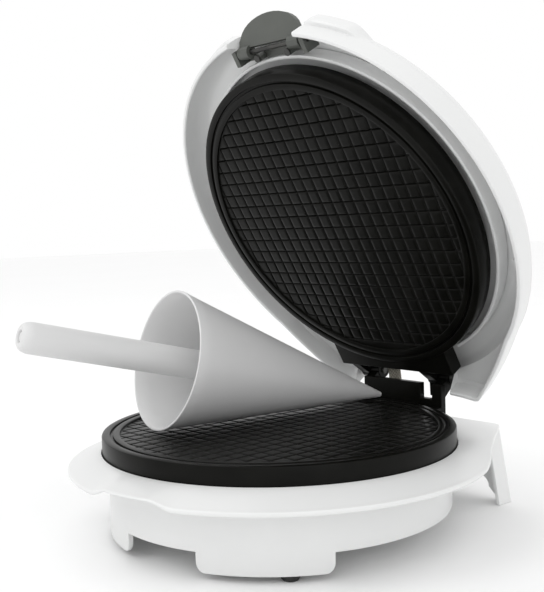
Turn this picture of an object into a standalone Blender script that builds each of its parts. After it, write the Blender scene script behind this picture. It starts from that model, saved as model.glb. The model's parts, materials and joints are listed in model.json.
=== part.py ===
"""Waffle cone maker: a hinged pair of heated plates in white shells, with a loose cone roller.

The machine is drawn closed, in metres, with the plates' axis on Z and Z = 0 where the lower plate meets
the base. The front is -Y and the hinge is at +Y. Everything on the lid hangs from one empty on the hinge
axis, and the last step opens it and stands the machine on Z = 0.
"""
import math

import bmesh
import bpy
from mathutils import Matrix, Vector

# Driving sizes
PLATE_RADIUS = 0.095        # outside of both cast plates
PLATE_HEIGHT = 0.0088       # how far the lower plate stands out of the base
PLATE_SINK = 0.0042         # how far the lower plate reaches into the base
BAKED_RADIUS = 0.0855       # waffle field
FIELD_DEPTH = 0.0012        # how deep the field lies under the sealing ring
RING_WIDTH = 0.0036         # raised sealing ring round the field
GROOVE_WIDTH = 0.0016
GROOVE_DEPTH = 0.0010
PLATE_GAP = 0.0006          # between the two sealing rings of the closed machine
UPPER_HEIGHT = 0.0116       # whole thickness of the upper plate

RIM_RADIUS = 0.1162         # outside of the lid's rim
RIM_RISE = 0.0028           # the lid's rim lies this far above the upper plate's face
LID_HEIGHT = 0.0206         # rim to the edge of the lid's top
CROWN = 0.0030              # how far the lid's top bulges
SHOULDER = 0.0090           # how far the lid's edge rounds inward
WALL = 0.0025               # every moulded wall
GRIP_RADIUS = 0.1186        # ledge round the front of the lid, cut flat at the middle
GRIP_REACH = 0.1130
GRIP_ANGLE = 34.0           # the ledge runs this far each side of the front
GRIP_RISE = 0.0105          # its underside above the rim
CORNER_HALF_WIDTH = 0.0605  # rear corners of lid and base
CORNER_REACH = 0.1175
NOTCH_GAP = 0.0034          # room beside the hinge in the lid's rear wall
LINER_RADIUS = 0.0975       # inside of the ring wall round the upper plate
LINER_SHOWN = 0.0118        # how much of the upper plate stands out of that wall

FLANGE_RADIUS = 0.1130
FLANGE_DROP = 0.0068        # how far the flange slopes down from the plate to its rim
FLANGE_RIM = 0.0026
SKIRT_RADIUS = 0.0921
SKIRT_BOTTOM = 0.0333       # depth of the skirt's edge
BLOCK_BOTTOM = 0.0430       # depth of the two front foot blocks
FLOOR_DEPTH = 0.0462        # depth of the surface the machine stands on
BLOCK_DEPTH = 0.0120        # radial depth of the pad that holds a rubber foot
PAD_SPAN = 8.0              # degrees of the skirt that the pad takes
PAD_HEIGHT = 0.0060
BLOCK_SPAN = 41.0           # degrees of the skirt that each front foot block takes
BLOCK_ANGLES = {"right": 42.6, "left": -27.9}   # middle of each block, degrees from the front
FOOT_OFFSET = 7.6           # each rubber foot sits this many degrees outside its block's middle
FOOT_RADIUS = 0.0046
FOOT_STEM = 0.0030          # radius of the socket that holds each rubber foot
LIP_FROM, LIP_TO = -3.0, 20.0   # degrees from the front where the flange is raised for a finger
LIP_DEPTH = 0.0058          # its underside
LIP_THICKNESS = 0.0016
LEG_SPREAD = 0.0085         # how far each rear leg leans out
LEG_DEPTH = 0.0120
LEG_WIDTH = 0.0075

HINGE_REACH = 0.1133        # hinge axis behind the plates' axis
HINGE_RISE = 0.0227
OPEN_ANGLE = 59.5
KNUCKLE_RADIUS = 0.0052
KNUCKLE_WIDTH = 0.0072
PIN_RADIUS = 0.0025
LEFT_ARM = 0.0320           # inner face of the lid's left hinge arm; its lug is inside it
RIGHT_LUG = 0.0230          # inner face of the base's right lug; its arm is inside it
WEB_REACH = 0.1022          # front of the upright web on the lower plate
WEB_THICKNESS = 0.0042
WEB_RISE = 0.0195
TAB_REACH = 0.1010          # rear tab of the upper plate
TAB_HALF_WIDTH = 0.0437

HEATER_RADIUS = 0.0600
HEATER_TUBE = 0.0028
REFLECTOR_RADIUS = 0.0820
SHEET = 0.0008
SHELF_DEPTH = 0.0205        # shelf inside the base that the lower plate is screwed to
SHELF_INNER = 0.0660
BOSS_RADIUS = 0.0045
BOSS_CIRCLE = 0.0745
COVER_THICKNESS = 0.0020
SCREW_RADIUS = 0.0016
SCREW_HEAD = 0.0030
SCREW_HEAD_HEIGHT = 0.0018

LATCH_REACH = 0.1060        # latch pivot in front of the plates' axis
LATCH_X = 0.0040           # the latch and its slot sit this far to the right of the middle
LATCH_RISE = 0.0186
LATCH_HALF_WIDTH = 0.0235
LATCH_LENGTH = 0.0180
LATCH_THICKNESS = 0.0028
LATCH_TILT = 30.0           # how far the free lever points above the level
LATCH_EYE = 0.0036          # radius of the lever's two eyes
LATCH_PIN = 0.0012
CARRIER_THICKNESS = 0.0022
CARRIER_BOSS = 0.0118       # the carrier's two screw tubes, either side of the middle

CONE_LENGTH = 0.1486
CONE_HALF_ANGLE = 13.80
CONE_TIP_RADIUS = 0.0016
CONE_WALL = 0.0016
HANDLE_RADIUS = 0.0081
HANDLE_LENGTH = 0.0811      # how far the handle stands out of the mouth
CONE_TURN = 10.15           # the cone lies this far off the front-to-back line
CONE_TIP_Y = 0.0944
CONE_TIP_X = -0.0106
SLEEVE_RADIUS = 0.0030

# Clearances
GAP = 0.0003                # between pieces that touch
RUN = 0.0003                # round a pin or a screw
MOVE = 0.0008               # beside anything that swings
ROUND = 48                  # sides of a large turned piece
SMALL = 16                  # sides of a small one

# Heights and places that follow from the sizes above
SEAL_TOP = PLATE_HEIGHT
UPPER_FACE = SEAL_TOP + PLATE_GAP
UPPER_BACK = UPPER_FACE + UPPER_HEIGHT
RIM_Z = UPPER_FACE + RIM_RISE
LID_TOP = RIM_Z + LID_HEIGHT
LINER_EDGE = UPPER_FACE + LINER_SHOWN
WELL_RADIUS = PLATE_RADIUS + 0.0019
SKIRT_INNER = SKIRT_RADIUS - WALL
CUTTERS = "cutters"


def collection(name):
    made = bpy.data.collections.new(name)
    bpy.context.scene.collection.children.link(made)
    return made


def material(name, colour, roughness, metallic=0.0):
    made = bpy.data.materials.get(name)
    if made:
        return made
    made = bpy.data.materials.new(name)
    made.use_nodes = True
    shader = made.node_tree.nodes["Principled BSDF"]
    shader.inputs["Base Color"].default_value = (*colour, 1)
    shader.inputs["Roughness"].default_value = roughness
    shader.inputs["Metallic"].default_value = metallic
    made.diffuse_color = (*colour, 1)
    return made


LOOKS = {
    "white": ((0.86, 0.86, 0.84), 0.30, 0.0),
    "cast": ((0.02, 0.02, 0.02), 0.50, 0.0),
    "steel": ((0.62, 0.62, 0.62), 0.35, 1.0),
    "tin": ((0.70, 0.70, 0.70), 0.45, 1.0),
    "grey": ((0.12, 0.125, 0.12), 0.45, 0.0),
    "rubber": ((0.02, 0.02, 0.02), 0.80, 0.0),
    "roller": ((0.72, 0.72, 0.71), 0.50, 0.0),
    "braid": ((0.42, 0.40, 0.34), 0.80, 0.0),
    "ceramic": ((0.80, 0.78, 0.72), 0.60, 0.0),
    "red": ((0.60, 0.03, 0.02), 0.20, 0.0),
    "green": ((0.05, 0.45, 0.10), 0.20, 0.0),
}


def place(mesh, name, look=None):
    """Links a mesh as a named piece, or as a cutter when it has no look."""
    made = bpy.data.objects.new(name, mesh)
    if look is None:
        bpy.data.collections[CUTTERS].objects.link(made)
        made.hide_render = True
        made.display_type = "WIRE"
        return made
    bpy.data.collections["waffle_cone_maker"].objects.link(made)
    mesh.materials.append(material(name, *LOOKS[look]))
    return made


def smooth(made, angle=35):
    made.data.shade_smooth()
    made.data.set_sharp_from_angle(angle=math.radians(angle))
    return made


def turned(name, profile, look=None, steps=ROUND, closed=False):
    """Turns (radius, height) points round Z. They run down the outer side."""
    mesh = bpy.data.meshes.new(name)
    edges = [(i, i + 1) for i in range(len(profile) - 1)]
    if closed:
        edges.append((len(profile) - 1, 0))
    mesh.from_pydata([(r, 0, z) for r, z in profile], edges, [])
    made = place(mesh, name, look)
    screw = made.modifiers.new("turn", "SCREW")
    screw.steps = screw.render_steps = steps
    screw.use_merge_vertices = True
    screw.merge_threshold = 0.00001
    screw.use_smooth_shade = False
    return made


def prism(name, outline, low, high, look=None):
    """Extrudes a flat XY outline from one height to another."""
    curve = bpy.data.curves.new(name, "CURVE")
    curve.dimensions = "2D"
    curve.fill_mode = "BOTH"
    curve.extrude = (high - low) / 2
    spline = curve.splines.new("POLY")
    spline.points.add(len(outline) - 1)
    for point, (x, y) in zip(spline.points, outline):
        point.co = (x, y, 0, 1)
    spline.use_cyclic_u = True
    drawn = bpy.data.objects.new(name + "_outline", curve)
    bpy.context.scene.collection.objects.link(drawn)
    bpy.context.view_layer.update()
    graph = bpy.context.evaluated_depsgraph_get()
    mesh = bpy.data.meshes.new_from_object(drawn.evaluated_get(graph))
    bpy.data.objects.remove(drawn)
    bm = bmesh.new()
    bm.from_mesh(mesh)
    bmesh.ops.remove_doubles(bm, verts=bm.verts, dist=1e-6)
    bmesh.ops.translate(bm, verts=bm.verts, vec=(0, 0, (low + high) / 2))
    bmesh.ops.recalc_face_normals(bm, faces=bm.faces)
    if bm.calc_volume(signed=True) < 0:
        bmesh.ops.reverse_faces(bm, faces=bm.faces)
    bm.to_mesh(mesh)
    bm.free()
    mesh.name = name
    return place(mesh, name, look)


def rod(name, start, end, radius, look=None, steps=SMALL, end_radius=None):
    """A cylinder or cone between two points."""
    start, end = Vector(start), Vector(end)
    along = end - start
    bm = bmesh.new()
    far = radius if end_radius is None else end_radius
    bmesh.ops.create_cone(bm, cap_ends=True, segments=steps, radius1=radius, radius2=far, depth=along.length)
    turn = Vector((0, 0, 1)).rotation_difference(along).to_matrix().to_4x4()
    bm.transform(Matrix.Translation((start + end) / 2) @ turn)
    mesh = bpy.data.meshes.new(name)
    bm.to_mesh(mesh)
    bm.free()
    return place(mesh, name, look)


def box(name, low, high, look=None, bevel=0.0):
    low, high = Vector(low), Vector(high)
    bm = bmesh.new()
    bmesh.ops.create_cube(bm, size=1)
    bmesh.ops.scale(bm, verts=bm.verts, vec=high - low)
    bmesh.ops.translate(bm, verts=bm.verts, vec=(low + high) / 2)
    mesh = bpy.data.meshes.new(name)
    bm.to_mesh(mesh)
    bm.free()
    made = place(mesh, name, look)
    if bevel:
        soften(made, bevel)
    return made


def soften(made, width, segments=2, angle=40):
    bevel = made.modifiers.new("soften", "BEVEL")
    bevel.width = width
    bevel.segments = segments
    bevel.limit_method = "ANGLE"
    bevel.angle_limit = math.radians(angle)
    return made


def combine(made, other, operation):
    if other.name not in bpy.data.collections[CUTTERS].objects:
        raise ValueError(other.name + " is not a helper")
    step = made.modifiers.new(other.name, "BOOLEAN")
    step.operation = operation
    step.object = other
    other.parent = made
    return made


def join(made, *others):
    for other in others:
        combine(made, other, "UNION")
    return made


def cut(made, *others):
    for other in others:
        combine(made, other, "DIFFERENCE")
    return made


def polar(radius, degrees_from_front):
    """A point at a radius, turned from the front towards +X."""
    turn = math.radians(degrees_from_front)
    return radius * math.sin(turn), -radius * math.cos(turn)


def arc(radius, first, last, count):
    step = (last - first) / (count - 1)
    return [polar(radius, first + step * i) for i in range(count)]


def tangent_angle(x, y, radius):
    """Degrees from the front at which a line from (x, y) touches the circle, on the point's front side."""
    reach = math.hypot(x, y)
    return math.degrees(math.atan2(x, -y) - math.acos(min(1.0, radius / reach)))


def shell_outline(radius, inset):
    """The circle of a shell drawn out to its two rear corners, moved in by a wall."""
    x, y = CORNER_HALF_WIDTH - inset, CORNER_REACH - inset
    start = tangent_angle(x, y, radius - inset)
    half = arc(radius - inset, start, 0, 25)
    right = [(x, y)] + half
    return right + [(-px, py) for px, py in reversed(right[:-1])]


def rounded_front(half_width, reach, back, radius, count=6):
    """A block outline with its two front corners rounded."""
    points = [(half_width, back)]
    for i in range(count):
        turn = math.radians(90 * i / (count - 1))
        points.append((half_width - radius + radius * math.cos(turn), -reach + radius - radius * math.sin(turn)))
    return points + [(-x, y) for x, y in reversed(points)]


def foot_place(side):
    angle = BLOCK_ANGLES[side]
    return polar(SKIRT_RADIUS - BLOCK_DEPTH / 2, angle + math.copysign(FOOT_OFFSET, angle))


# The base

def flange_height(radius):
    share = (radius - WELL_RADIUS) / (FLANGE_RADIUS - WELL_RADIUS)
    return -GAP - FLANGE_DROP * share


def base_shell():
    well_floor = -(PLATE_SINK + GAP * 2)
    under = well_floor - WALL
    rim_bottom = flange_height(FLANGE_RADIUS) - FLANGE_RIM
    roll = 0.0010
    shelf_top, shelf_bottom = -SHELF_DEPTH, -SHELF_DEPTH - WALL
    made = turned("base_shell", [
        (WELL_RADIUS, flange_height(WELL_RADIUS)),
        (FLANGE_RADIUS - roll, flange_height(FLANGE_RADIUS - roll)),
        (FLANGE_RADIUS, flange_height(FLANGE_RADIUS) - roll),
        (FLANGE_RADIUS, rim_bottom + roll),
        (FLANGE_RADIUS - roll, rim_bottom),
        (FLANGE_RADIUS - WALL, rim_bottom),
        (SKIRT_RADIUS, under),
        (SKIRT_RADIUS, -SKIRT_BOTTOM),
        (SKIRT_INNER, -SKIRT_BOTTOM),
        (SKIRT_INNER, shelf_bottom),
        (SHELF_INNER, shelf_bottom),
        (SHELF_INNER, shelf_top),
        (SKIRT_INNER, shelf_top),
        (SKIRT_INNER, well_floor),
        (WELL_RADIUS, well_floor),
    ], "white", closed=True)
    for side, angle in BLOCK_ANGLES.items():
        first, last = angle - BLOCK_SPAN / 2, angle + BLOCK_SPAN / 2
        wall = arc(SKIRT_RADIUS, first, last, 9) + arc(SKIRT_INNER, last, first, 9)
        join(made, prism("block_" + side, wall, -BLOCK_BOTTOM, -SKIRT_BOTTOM + WALL))
        middle = angle + math.copysign(FOOT_OFFSET, angle)
        pad = arc(SKIRT_RADIUS - WALL / 2, middle - PAD_SPAN / 2, middle + PAD_SPAN / 2, 4)
        pad += arc(SKIRT_RADIUS - BLOCK_DEPTH, middle + PAD_SPAN / 2, middle - PAD_SPAN / 2, 4)
        join(made, prism("pad_" + side, pad, -BLOCK_BOTTOM + 0.0002, -BLOCK_BOTTOM + PAD_HEIGHT))
        x, y = foot_place(side)
        socket = rod("socket_" + side, (x, y, -BLOCK_BOTTOM - 0.001), (x, y, -BLOCK_BOTTOM + 0.004), FOOT_STEM)
        cut(made, socket)
    # finger notch at the front: the sloping flange gives way to a higher, thinner lip
    edge = FLANGE_RADIUS - 0.0002
    notch = arc(FLANGE_RADIUS + 0.01, LIP_FROM, LIP_TO, 6) + arc(SKIRT_RADIUS + 0.0012, LIP_TO, LIP_FROM, 6)
    lip = arc(edge, LIP_FROM - 0.6, LIP_TO + 0.6, 9) + arc(WELL_RADIUS + 0.0015, LIP_TO + 0.6, LIP_FROM - 0.6, 9)
    cut(made, prism("lip_room", notch, -0.03, -LIP_DEPTH - 0.0001))
    join(made, prism("lip", lip, -LIP_DEPTH, -LIP_DEPTH + LIP_THICKNESS))
    # rear deck out to the corners, and the rear wall with its two legs
    deck_top = -GAP - 0.0016
    deck = prism("deck", shell_outline(FLANGE_RADIUS - 0.0012, 0), deck_top - WALL, deck_top)
    keep = box("deck_front", (-0.2, -0.2, -0.1), (0.2, 0.072, 0.1))
    well = rod("deck_well", (0, 0, -0.05), (0, 0, 0.05), WELL_RADIUS + 0.001, steps=ROUND)
    cut(deck, keep, well)
    join(made, deck)
    spread = LEG_SPREAD / FLOOR_DEPTH
    low, high = -FLOOR_DEPTH, deck_top - GAP
    leg_x = CORNER_HALF_WIDTH - 0.0004
    far = CORNER_REACH - 0.0004

    def wall_x(z, inset):
        return leg_x - inset - spread * (z - deck_top)

    outside = [(wall_x(low, 0), low), (wall_x(high, 0), high)]
    rear = upright("rear", outside + [(-x, z) for x, z in reversed(outside)],
                   CORNER_REACH - LEG_DEPTH, far)
    inside = [(wall_x(low - 0.01, WALL), low - 0.01), (wall_x(deck_top - WALL, WALL), deck_top - WALL)]
    room = upright("rear_room", inside + [(-x, z) for x, z in reversed(inside)],
                   CORNER_REACH - LEG_DEPTH - 0.01, CORNER_REACH - WALL)
    arch = [(wall_x(low - 0.01, LEG_WIDTH), low - 0.01), (wall_x(-SKIRT_BOTTOM, LEG_WIDTH * 1.6), -SKIRT_BOTTOM)]
    gate = upright("rear_gate", arch + [(-x, z) for x, z in reversed(arch)],
                   CORNER_REACH - LEG_DEPTH - 0.01, CORNER_REACH + 0.01)
    cut(rear, room, gate)
    join(made, rear)
    for k in range(3):
        x, y = polar(BOSS_CIRCLE, 120 * k)
        cut(made, rod("shelf_hole_%d" % k, (x, y, shelf_bottom - 0.005), (x, y, shelf_top + 0.005),
                      SCREW_RADIUS + RUN))
    for k in range(4):
        x, y = polar(BOSS_CIRCLE, 45 + 90 * k)
        post = rod("post_%d" % k, (x, y, shelf_bottom + GAP * 2), (x, y, cover_top() + GAP), BOSS_RADIUS)
        bore = rod("post_bore_%d" % k, (x, y, shelf_bottom - 0.0005), (x, y, cover_top() - 0.01),
                   SCREW_RADIUS + RUN)
        join(made, post)
        cut(made, bore)
    gx, gz = GLAND_X, GLAND_Z
    cut(made, rod("gland_hole", (gx, SKIRT_RADIUS - 0.02, gz), (gx, SKIRT_RADIUS + 0.004, gz), GLAND_RADIUS + GAP))
    x, y = SLEEVE_X, SLEEVE_Y
    cut(made, rod("sleeve_hole", (x, y, -0.02), (x, y, 0.01), SLEEVE_RADIUS + 2 * RUN))
    return smooth(made)


def upright(name, outline, near, far):
    """A prism whose outline is in XZ, between two Y places."""
    made = prism(name, outline, -far, -near)
    made.data.transform(Matrix.Rotation(math.radians(90), 4, "X"))
    return made


def sideways(name, outline, left, right):
    """A prism whose outline is in YZ, between two X places."""
    made = prism(name, outline, left, right)
    made.data.transform(Matrix(((0, 0, 1, 0), (1, 0, 0, 0), (0, 1, 0, 0), (0, 0, 0, 1))))
    return made


def cover_top():
    return -SKIRT_BOTTOM + 0.0008 + COVER_THICKNESS


GLAND_X, GLAND_Z, GLAND_RADIUS = 0.0, -0.0150, 0.0048
SLEEVE_X, SLEEVE_Y = -0.0135, 0.1106


def base_cover():
    top = cover_top()
    radius = SKIRT_INNER - GAP * 2
    block_inner = SKIRT_RADIUS - BLOCK_DEPTH - GAP * 2
    made = turned("base_cover", [(0, top), (radius, top), (radius, top - COVER_THICKNESS),
                                 (0, top - COVER_THICKNESS)], "white")
    for side, angle in BLOCK_ANGLES.items():
        first, last = angle - BLOCK_SPAN / 2 - 1, angle + BLOCK_SPAN / 2 + 1
        bay = arc(0.1, first, last, 7) + arc(block_inner, last, first, 7)
        cut(made, prism("cover_bay_" + side, bay, top - 0.01, top + 0.01))
    for k in range(4):
        x, y = polar(BOSS_CIRCLE, 45 + 90 * k)
        cut(made, rod("cover_hole_%d" % k, (x, y, top - 0.01), (x, y, top + 0.01), SCREW_RADIUS + RUN))
    for k in range(-2, 3):
        slot = box("cover_vent_%d" % k, (k * 0.010 - 0.0012, -0.012, top - 0.01), (k * 0.010 + 0.0012, 0.012, top + 0.01))
        cut(made, slot)
    return smooth(made)


def rubber_feet():
    for side in BLOCK_ANGLES:
        x, y = foot_place(side)
        low, top = -FLOOR_DEPTH, -BLOCK_BOTTOM
        made = turned("rubber_foot_" + side, [
            (0, top + 0.0034), (FOOT_STEM - GAP, top + 0.0034), (FOOT_STEM - GAP, top - GAP), (FOOT_RADIUS, top - GAP),
            (FOOT_RADIUS, low + 0.0012), (FOOT_RADIUS - 0.0010, low), (0, low)], "rubber", SMALL)
        made.location = (x, y, 0)
        smooth(made)


def screw(name, x, y, seat, length, look="steel", parent=None):
    """A pan-head screw pointing up, its head under the seat."""
    head = seat - SCREW_HEAD_HEIGHT
    made = turned(name, [
        (0, seat + length), (SCREW_RADIUS, seat + length - 0.0008), (SCREW_RADIUS, seat),
        (SCREW_HEAD, seat), (SCREW_HEAD, head + 0.0008), (SCREW_HEAD * 0.75, head), (0, head)], look, 12)
    made.location = (x, y, 0)
    made.parent = parent
    return smooth(made)


# The lower plate and what is under it

def plate_face(height, direction):
    """Profile points of a cooking face from the centre out; the face looks along the direction."""
    ring = BAKED_RADIUS + RING_WIDTH
    return [
        (0, height - direction * FIELD_DEPTH),
        (BAKED_RADIUS, height - direction * FIELD_DEPTH),
        (BAKED_RADIUS, height),
        (ring, height),
        (ring, height - direction * GROOVE_DEPTH),
        (ring + GROOVE_WIDTH, height - direction * GROOVE_DEPTH),
        (ring + GROOVE_WIDTH, height),
        (PLATE_RADIUS - 0.0006, height),
        (PLATE_RADIUS, height - direction * 0.0006),
    ]


def knuckle(name, left, right):
    return rod(name, (left, HINGE_REACH, HINGE_RISE), (right, HINGE_REACH, HINGE_RISE), KNUCKLE_RADIUS)


def pin_bore(name, left, right):
    return rod(name, (left - 0.001, HINGE_REACH, HINGE_RISE), (right + 0.001, HINGE_REACH, HINGE_RISE),
               PIN_RADIUS + RUN)


def hinge_spans():
    """X spans of the lid's two arms and the base's two lugs."""
    arms = ((-LEFT_ARM - KNUCKLE_WIDTH, -LEFT_ARM), (RIGHT_LUG - MOVE - KNUCKLE_WIDTH, RIGHT_LUG - MOVE))
    lugs = ((-LEFT_ARM + MOVE, -LEFT_ARM + MOVE + KNUCKLE_WIDTH), (RIGHT_LUG, RIGHT_LUG + KNUCKLE_WIDTH))
    return arms, lugs


def lower_plate():
    made = turned("lower_plate", plate_face(SEAL_TOP, 1) + [
        (PLATE_RADIUS, -PLATE_SINK + 0.001), (PLATE_RADIUS - 0.001, -PLATE_SINK), (0, -PLATE_SINK)], "cast")
    arms, lugs = hinge_spans()
    left, right = lugs[0][0], lugs[1][1]
    web_low = 0.0008
    web = upright("web", [(left, WEB_RISE), (left, WEB_RISE - 0.0065), (left * 0.68, 0.0055),
                          (left * 0.68, web_low), (right, web_low), (right, WEB_RISE)],
                  WEB_REACH, WEB_REACH + WEB_THICKNESS)
    root = box("web_root", (left * 0.68, PLATE_RADIUS * 0.93, web_low), (right, WEB_REACH + 0.001, 0.0060))
    arm_way = box("arm_way", (arms[1][0] - MOVE, WEB_REACH - 0.01, WEB_RISE - 0.0090), (arms[1][1] + MOVE, 0.2, 0.1))
    cut(join(made, root, web), arm_way)
    for k, (low_x, high_x) in enumerate(lugs):
        cheek = sideways("cheek_%d" % k, [
            (WEB_REACH + 0.001, WEB_RISE - 0.011), (WEB_REACH + 0.001, WEB_RISE - 0.0004),
            (HINGE_REACH - 0.0004, HINGE_RISE + 0.003), (HINGE_REACH + 0.0031, HINGE_RISE - 0.003)],
                         low_x + 0.0004, high_x - 0.0004)
        join(made, cheek, knuckle("lug_%d" % k, low_x, high_x))
        cut(made, pin_bore("lug_bore_%d" % k, low_x, high_x))
    for k in range(3):
        x, y = polar(BOSS_CIRCLE, 120 * k)
        join(made, rod("plate_boss_%d" % k, (x, y, -PLATE_SINK + 0.001), (x, y, -SHELF_DEPTH + GAP), BOSS_RADIUS))
        cut(made, rod("plate_bore_%d" % k, (x, y, -PLATE_SINK - 0.004), (x, y, -SHELF_DEPTH - 0.01),
                      SCREW_RADIUS + RUN))
    return smooth(made)


def heater(name, height, down, look="steel", parent=None):
    """A tubular element bent nearly full circle, its two cold ends turned away from the plate."""
    curve = bpy.data.curves.new(name, "CURVE")
    curve.dimensions = "3D"
    curve.bevel_depth = HEATER_TUBE
    curve.bevel_resolution = 1
    curve.use_fill_caps = True
    spline = curve.splines.new("POLY")
    turns = [180 + 14 + (332 / 39) * i for i in range(40)]
    path = [(*polar(HEATER_RADIUS, a), height) for a in turns]
    for index, sign in ((0, -1), (len(path) - 1, 1)):
        x, y = polar(HEATER_RADIUS, turns[index] + sign * 3)
        end = [(x, y, height + down * 0.0025), (x, y, height + down * 0.0075)]
        path = end[::-1] + path if index == 0 else path + end
    spline.points.add(len(path) - 1)
    for point, place_at in zip(spline.points, path):
        point.co = (*place_at, 1)
    made = bpy.data.objects.new(name, curve)
    bpy.data.collections["waffle_cone_maker"].objects.link(made)
    curve.materials.append(material(name, *LOOKS[look]))
    made.parent = parent
    return made


def reflector(name, near, down, first_boss, parent=None):
    """A shallow sheet pan behind the element, with holes for its ends, the bosses and the thermostat."""
    depth = 2 * HEATER_TUBE + 3 * GAP
    floor = near + down * depth
    near_side = [(0.012, floor), (REFLECTOR_RADIUS - 0.004, floor), (REFLECTOR_RADIUS, floor - down * depth * 0.75)]
    far_side = [(r, z + down * SHEET) for r, z in reversed(near_side)]
    loop = near_side + far_side
    made = turned(name, loop if down < 0 else loop[::-1], "tin", 32, closed=True)
    for index, sign in ((0, 1), (1, -1)):
        x, y = polar(HEATER_RADIUS, 180 + sign * 11)
        cut(made, rod(name + "_end_%d" % index, (x, y, floor - 0.01), (x, y, floor + 0.01), HEATER_TUBE + 0.001))
    for k in range(3):
        x, y = polar(BOSS_CIRCLE, first_boss + 120 * k)
        cut(made, rod(name + "_boss_%d" % k, (x, y, floor - 0.02), (x, y, floor + 0.02), BOSS_RADIUS + 0.0005))
    made.parent = parent
    return smooth(made)


def small_parts():
    """Control pieces in the base, under the lower plate."""
    under = -PLATE_SINK
    made = turned("base_thermostat", [
        (0, under - GAP), (0.0085, under - GAP), (0.0085, under - 0.006), (0.0060, under - 0.006),
        (0.0060, under - 0.0125), (0, under - 0.0125)], "ceramic", 24)
    smooth(made)
    fuse = rod("thermal_fuse", (-0.030, -0.012, -0.0245), (-0.030, 0.012, -0.0245), 0.0022, "steel", 16)
    smooth(fuse)
    block = box("terminal_block", (0.006, 0.034, -0.0285), (0.034, 0.046, -0.0195), "ceramic", 0.0008)
    smooth(block)


def cord_gland():
    outer = SKIRT_RADIUS + GAP
    inner = SKIRT_INNER - 0.0030
    made = turned("cord_gland", [
        (GLAND_RADIUS + 0.0016, 0.004), (GLAND_RADIUS + 0.0016, 0.0), (GLAND_RADIUS, 0.0),
        (GLAND_RADIUS, inner - outer), (0.0032, inner - outer), (0.0032, 0.004)], "rubber", SMALL, closed=True)
    made.location = (GLAND_X, outer, GLAND_Z)
    made.rotation_euler = (math.radians(-90), 0, 0)
    return smooth(made)


def hinge_pins():
    arms, lugs = hinge_spans()
    spans = (("left", arms[0][0], lugs[0][1], -1), ("right", arms[1][0], lugs[1][1], 1))
    for side, low, high, sign in spans:
        outer_end, inner_end = (low, high) if sign < 0 else (high, low)
        length = abs(high - low)
        made = turned("hinge_pin_" + side, [
            (0, 0.0016 + GAP), (0.0034, 0.0016 + GAP), (0.0038, 0.0010), (0.0038, GAP), (PIN_RADIUS, GAP),
            (PIN_RADIUS, -length - 0.0005), (PIN_RADIUS - 0.0006, -length - 0.0011), (0, -length - 0.0011)],
            "steel", SMALL)
        made.location = (outer_end, HINGE_REACH, HINGE_RISE)
        made.rotation_euler = (0, math.radians(90 * sign), 0)
        smooth(made)


def wire_sleeve():
    """Braided sleeve from the base's rear deck, past the hinge, into the open lid."""
    curve = bpy.data.curves.new("wire_sleeve", "CURVE")
    curve.dimensions = "3D"
    curve.bevel_depth = SLEEVE_RADIUS
    curve.bevel_resolution = 2
    curve.use_fill_caps = True
    top = lid_point(0.1025, LID_TOP - WALL - SLEEVE_RADIUS - 0.0026)
    mid = lid_point(0.1085, LID_TOP - WALL - SLEEVE_RADIUS - 0.0030)
    route = [Vector((SLEEVE_X, SLEEVE_Y, -0.0190)), Vector((SLEEVE_X, SLEEVE_Y, 0.0080)),
             Vector((SLEEVE_X - 0.0020, mid[0], mid[1])), Vector((SLEEVE_X - 0.0045, top[0], top[1]))]
    points = []
    for i in range(len(route) - 1):
        before, after = route[max(i - 1, 0)], route[min(i + 2, len(route) - 1)]
        for k in range(5):
            t = k / 5
            a, b, c, d = before, route[i], route[i + 1], after
            points.append(0.5 * (2 * b + (c - a) * t + (2 * a - 5 * b + 4 * c - d) * t * t
                                 + (3 * b - a - 3 * c + d) * t ** 3))
    points.append(route[-1])
    spline = curve.splines.new("POLY")
    spline.points.add(len(points) - 1)
    for point, at in zip(spline.points, points):
        point.co = (*at, 1)
    made = bpy.data.objects.new("wire_sleeve", curve)
    bpy.data.collections["waffle_cone_maker"].objects.link(made)
    curve.materials.append(material("wire_sleeve", *LOOKS["braid"]))
    return made


def lid_point(y, z):
    """Where a point of the closed lid goes when the lid is open."""
    turn = math.radians(OPEN_ANGLE)
    dy, dz = y - HINGE_REACH, z - HINGE_RISE
    return (HINGE_REACH + dy * math.cos(turn) + dz * math.sin(turn),
            HINGE_RISE - dy * math.sin(turn) + dz * math.cos(turn))


# The lid, drawn closed

def dome_profile(radius, rim, top, inset):
    """Outside of the dome from the centre of its top down to the rim, moved in by a wall."""
    flat = radius - SHOULDER
    points = [(flat * k / 4, top - inset + CROWN * (1 - (k / 4) ** 2)) for k in range(4)]
    for k in range(6):
        turn = math.radians(18 * k)
        points.append((flat + (SHOULDER - inset) * math.sin(turn),
                       top - inset - (LID_HEIGHT * 0.62) * (1 - math.cos(turn))))
    return points + [(radius - inset, rim)]


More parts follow.
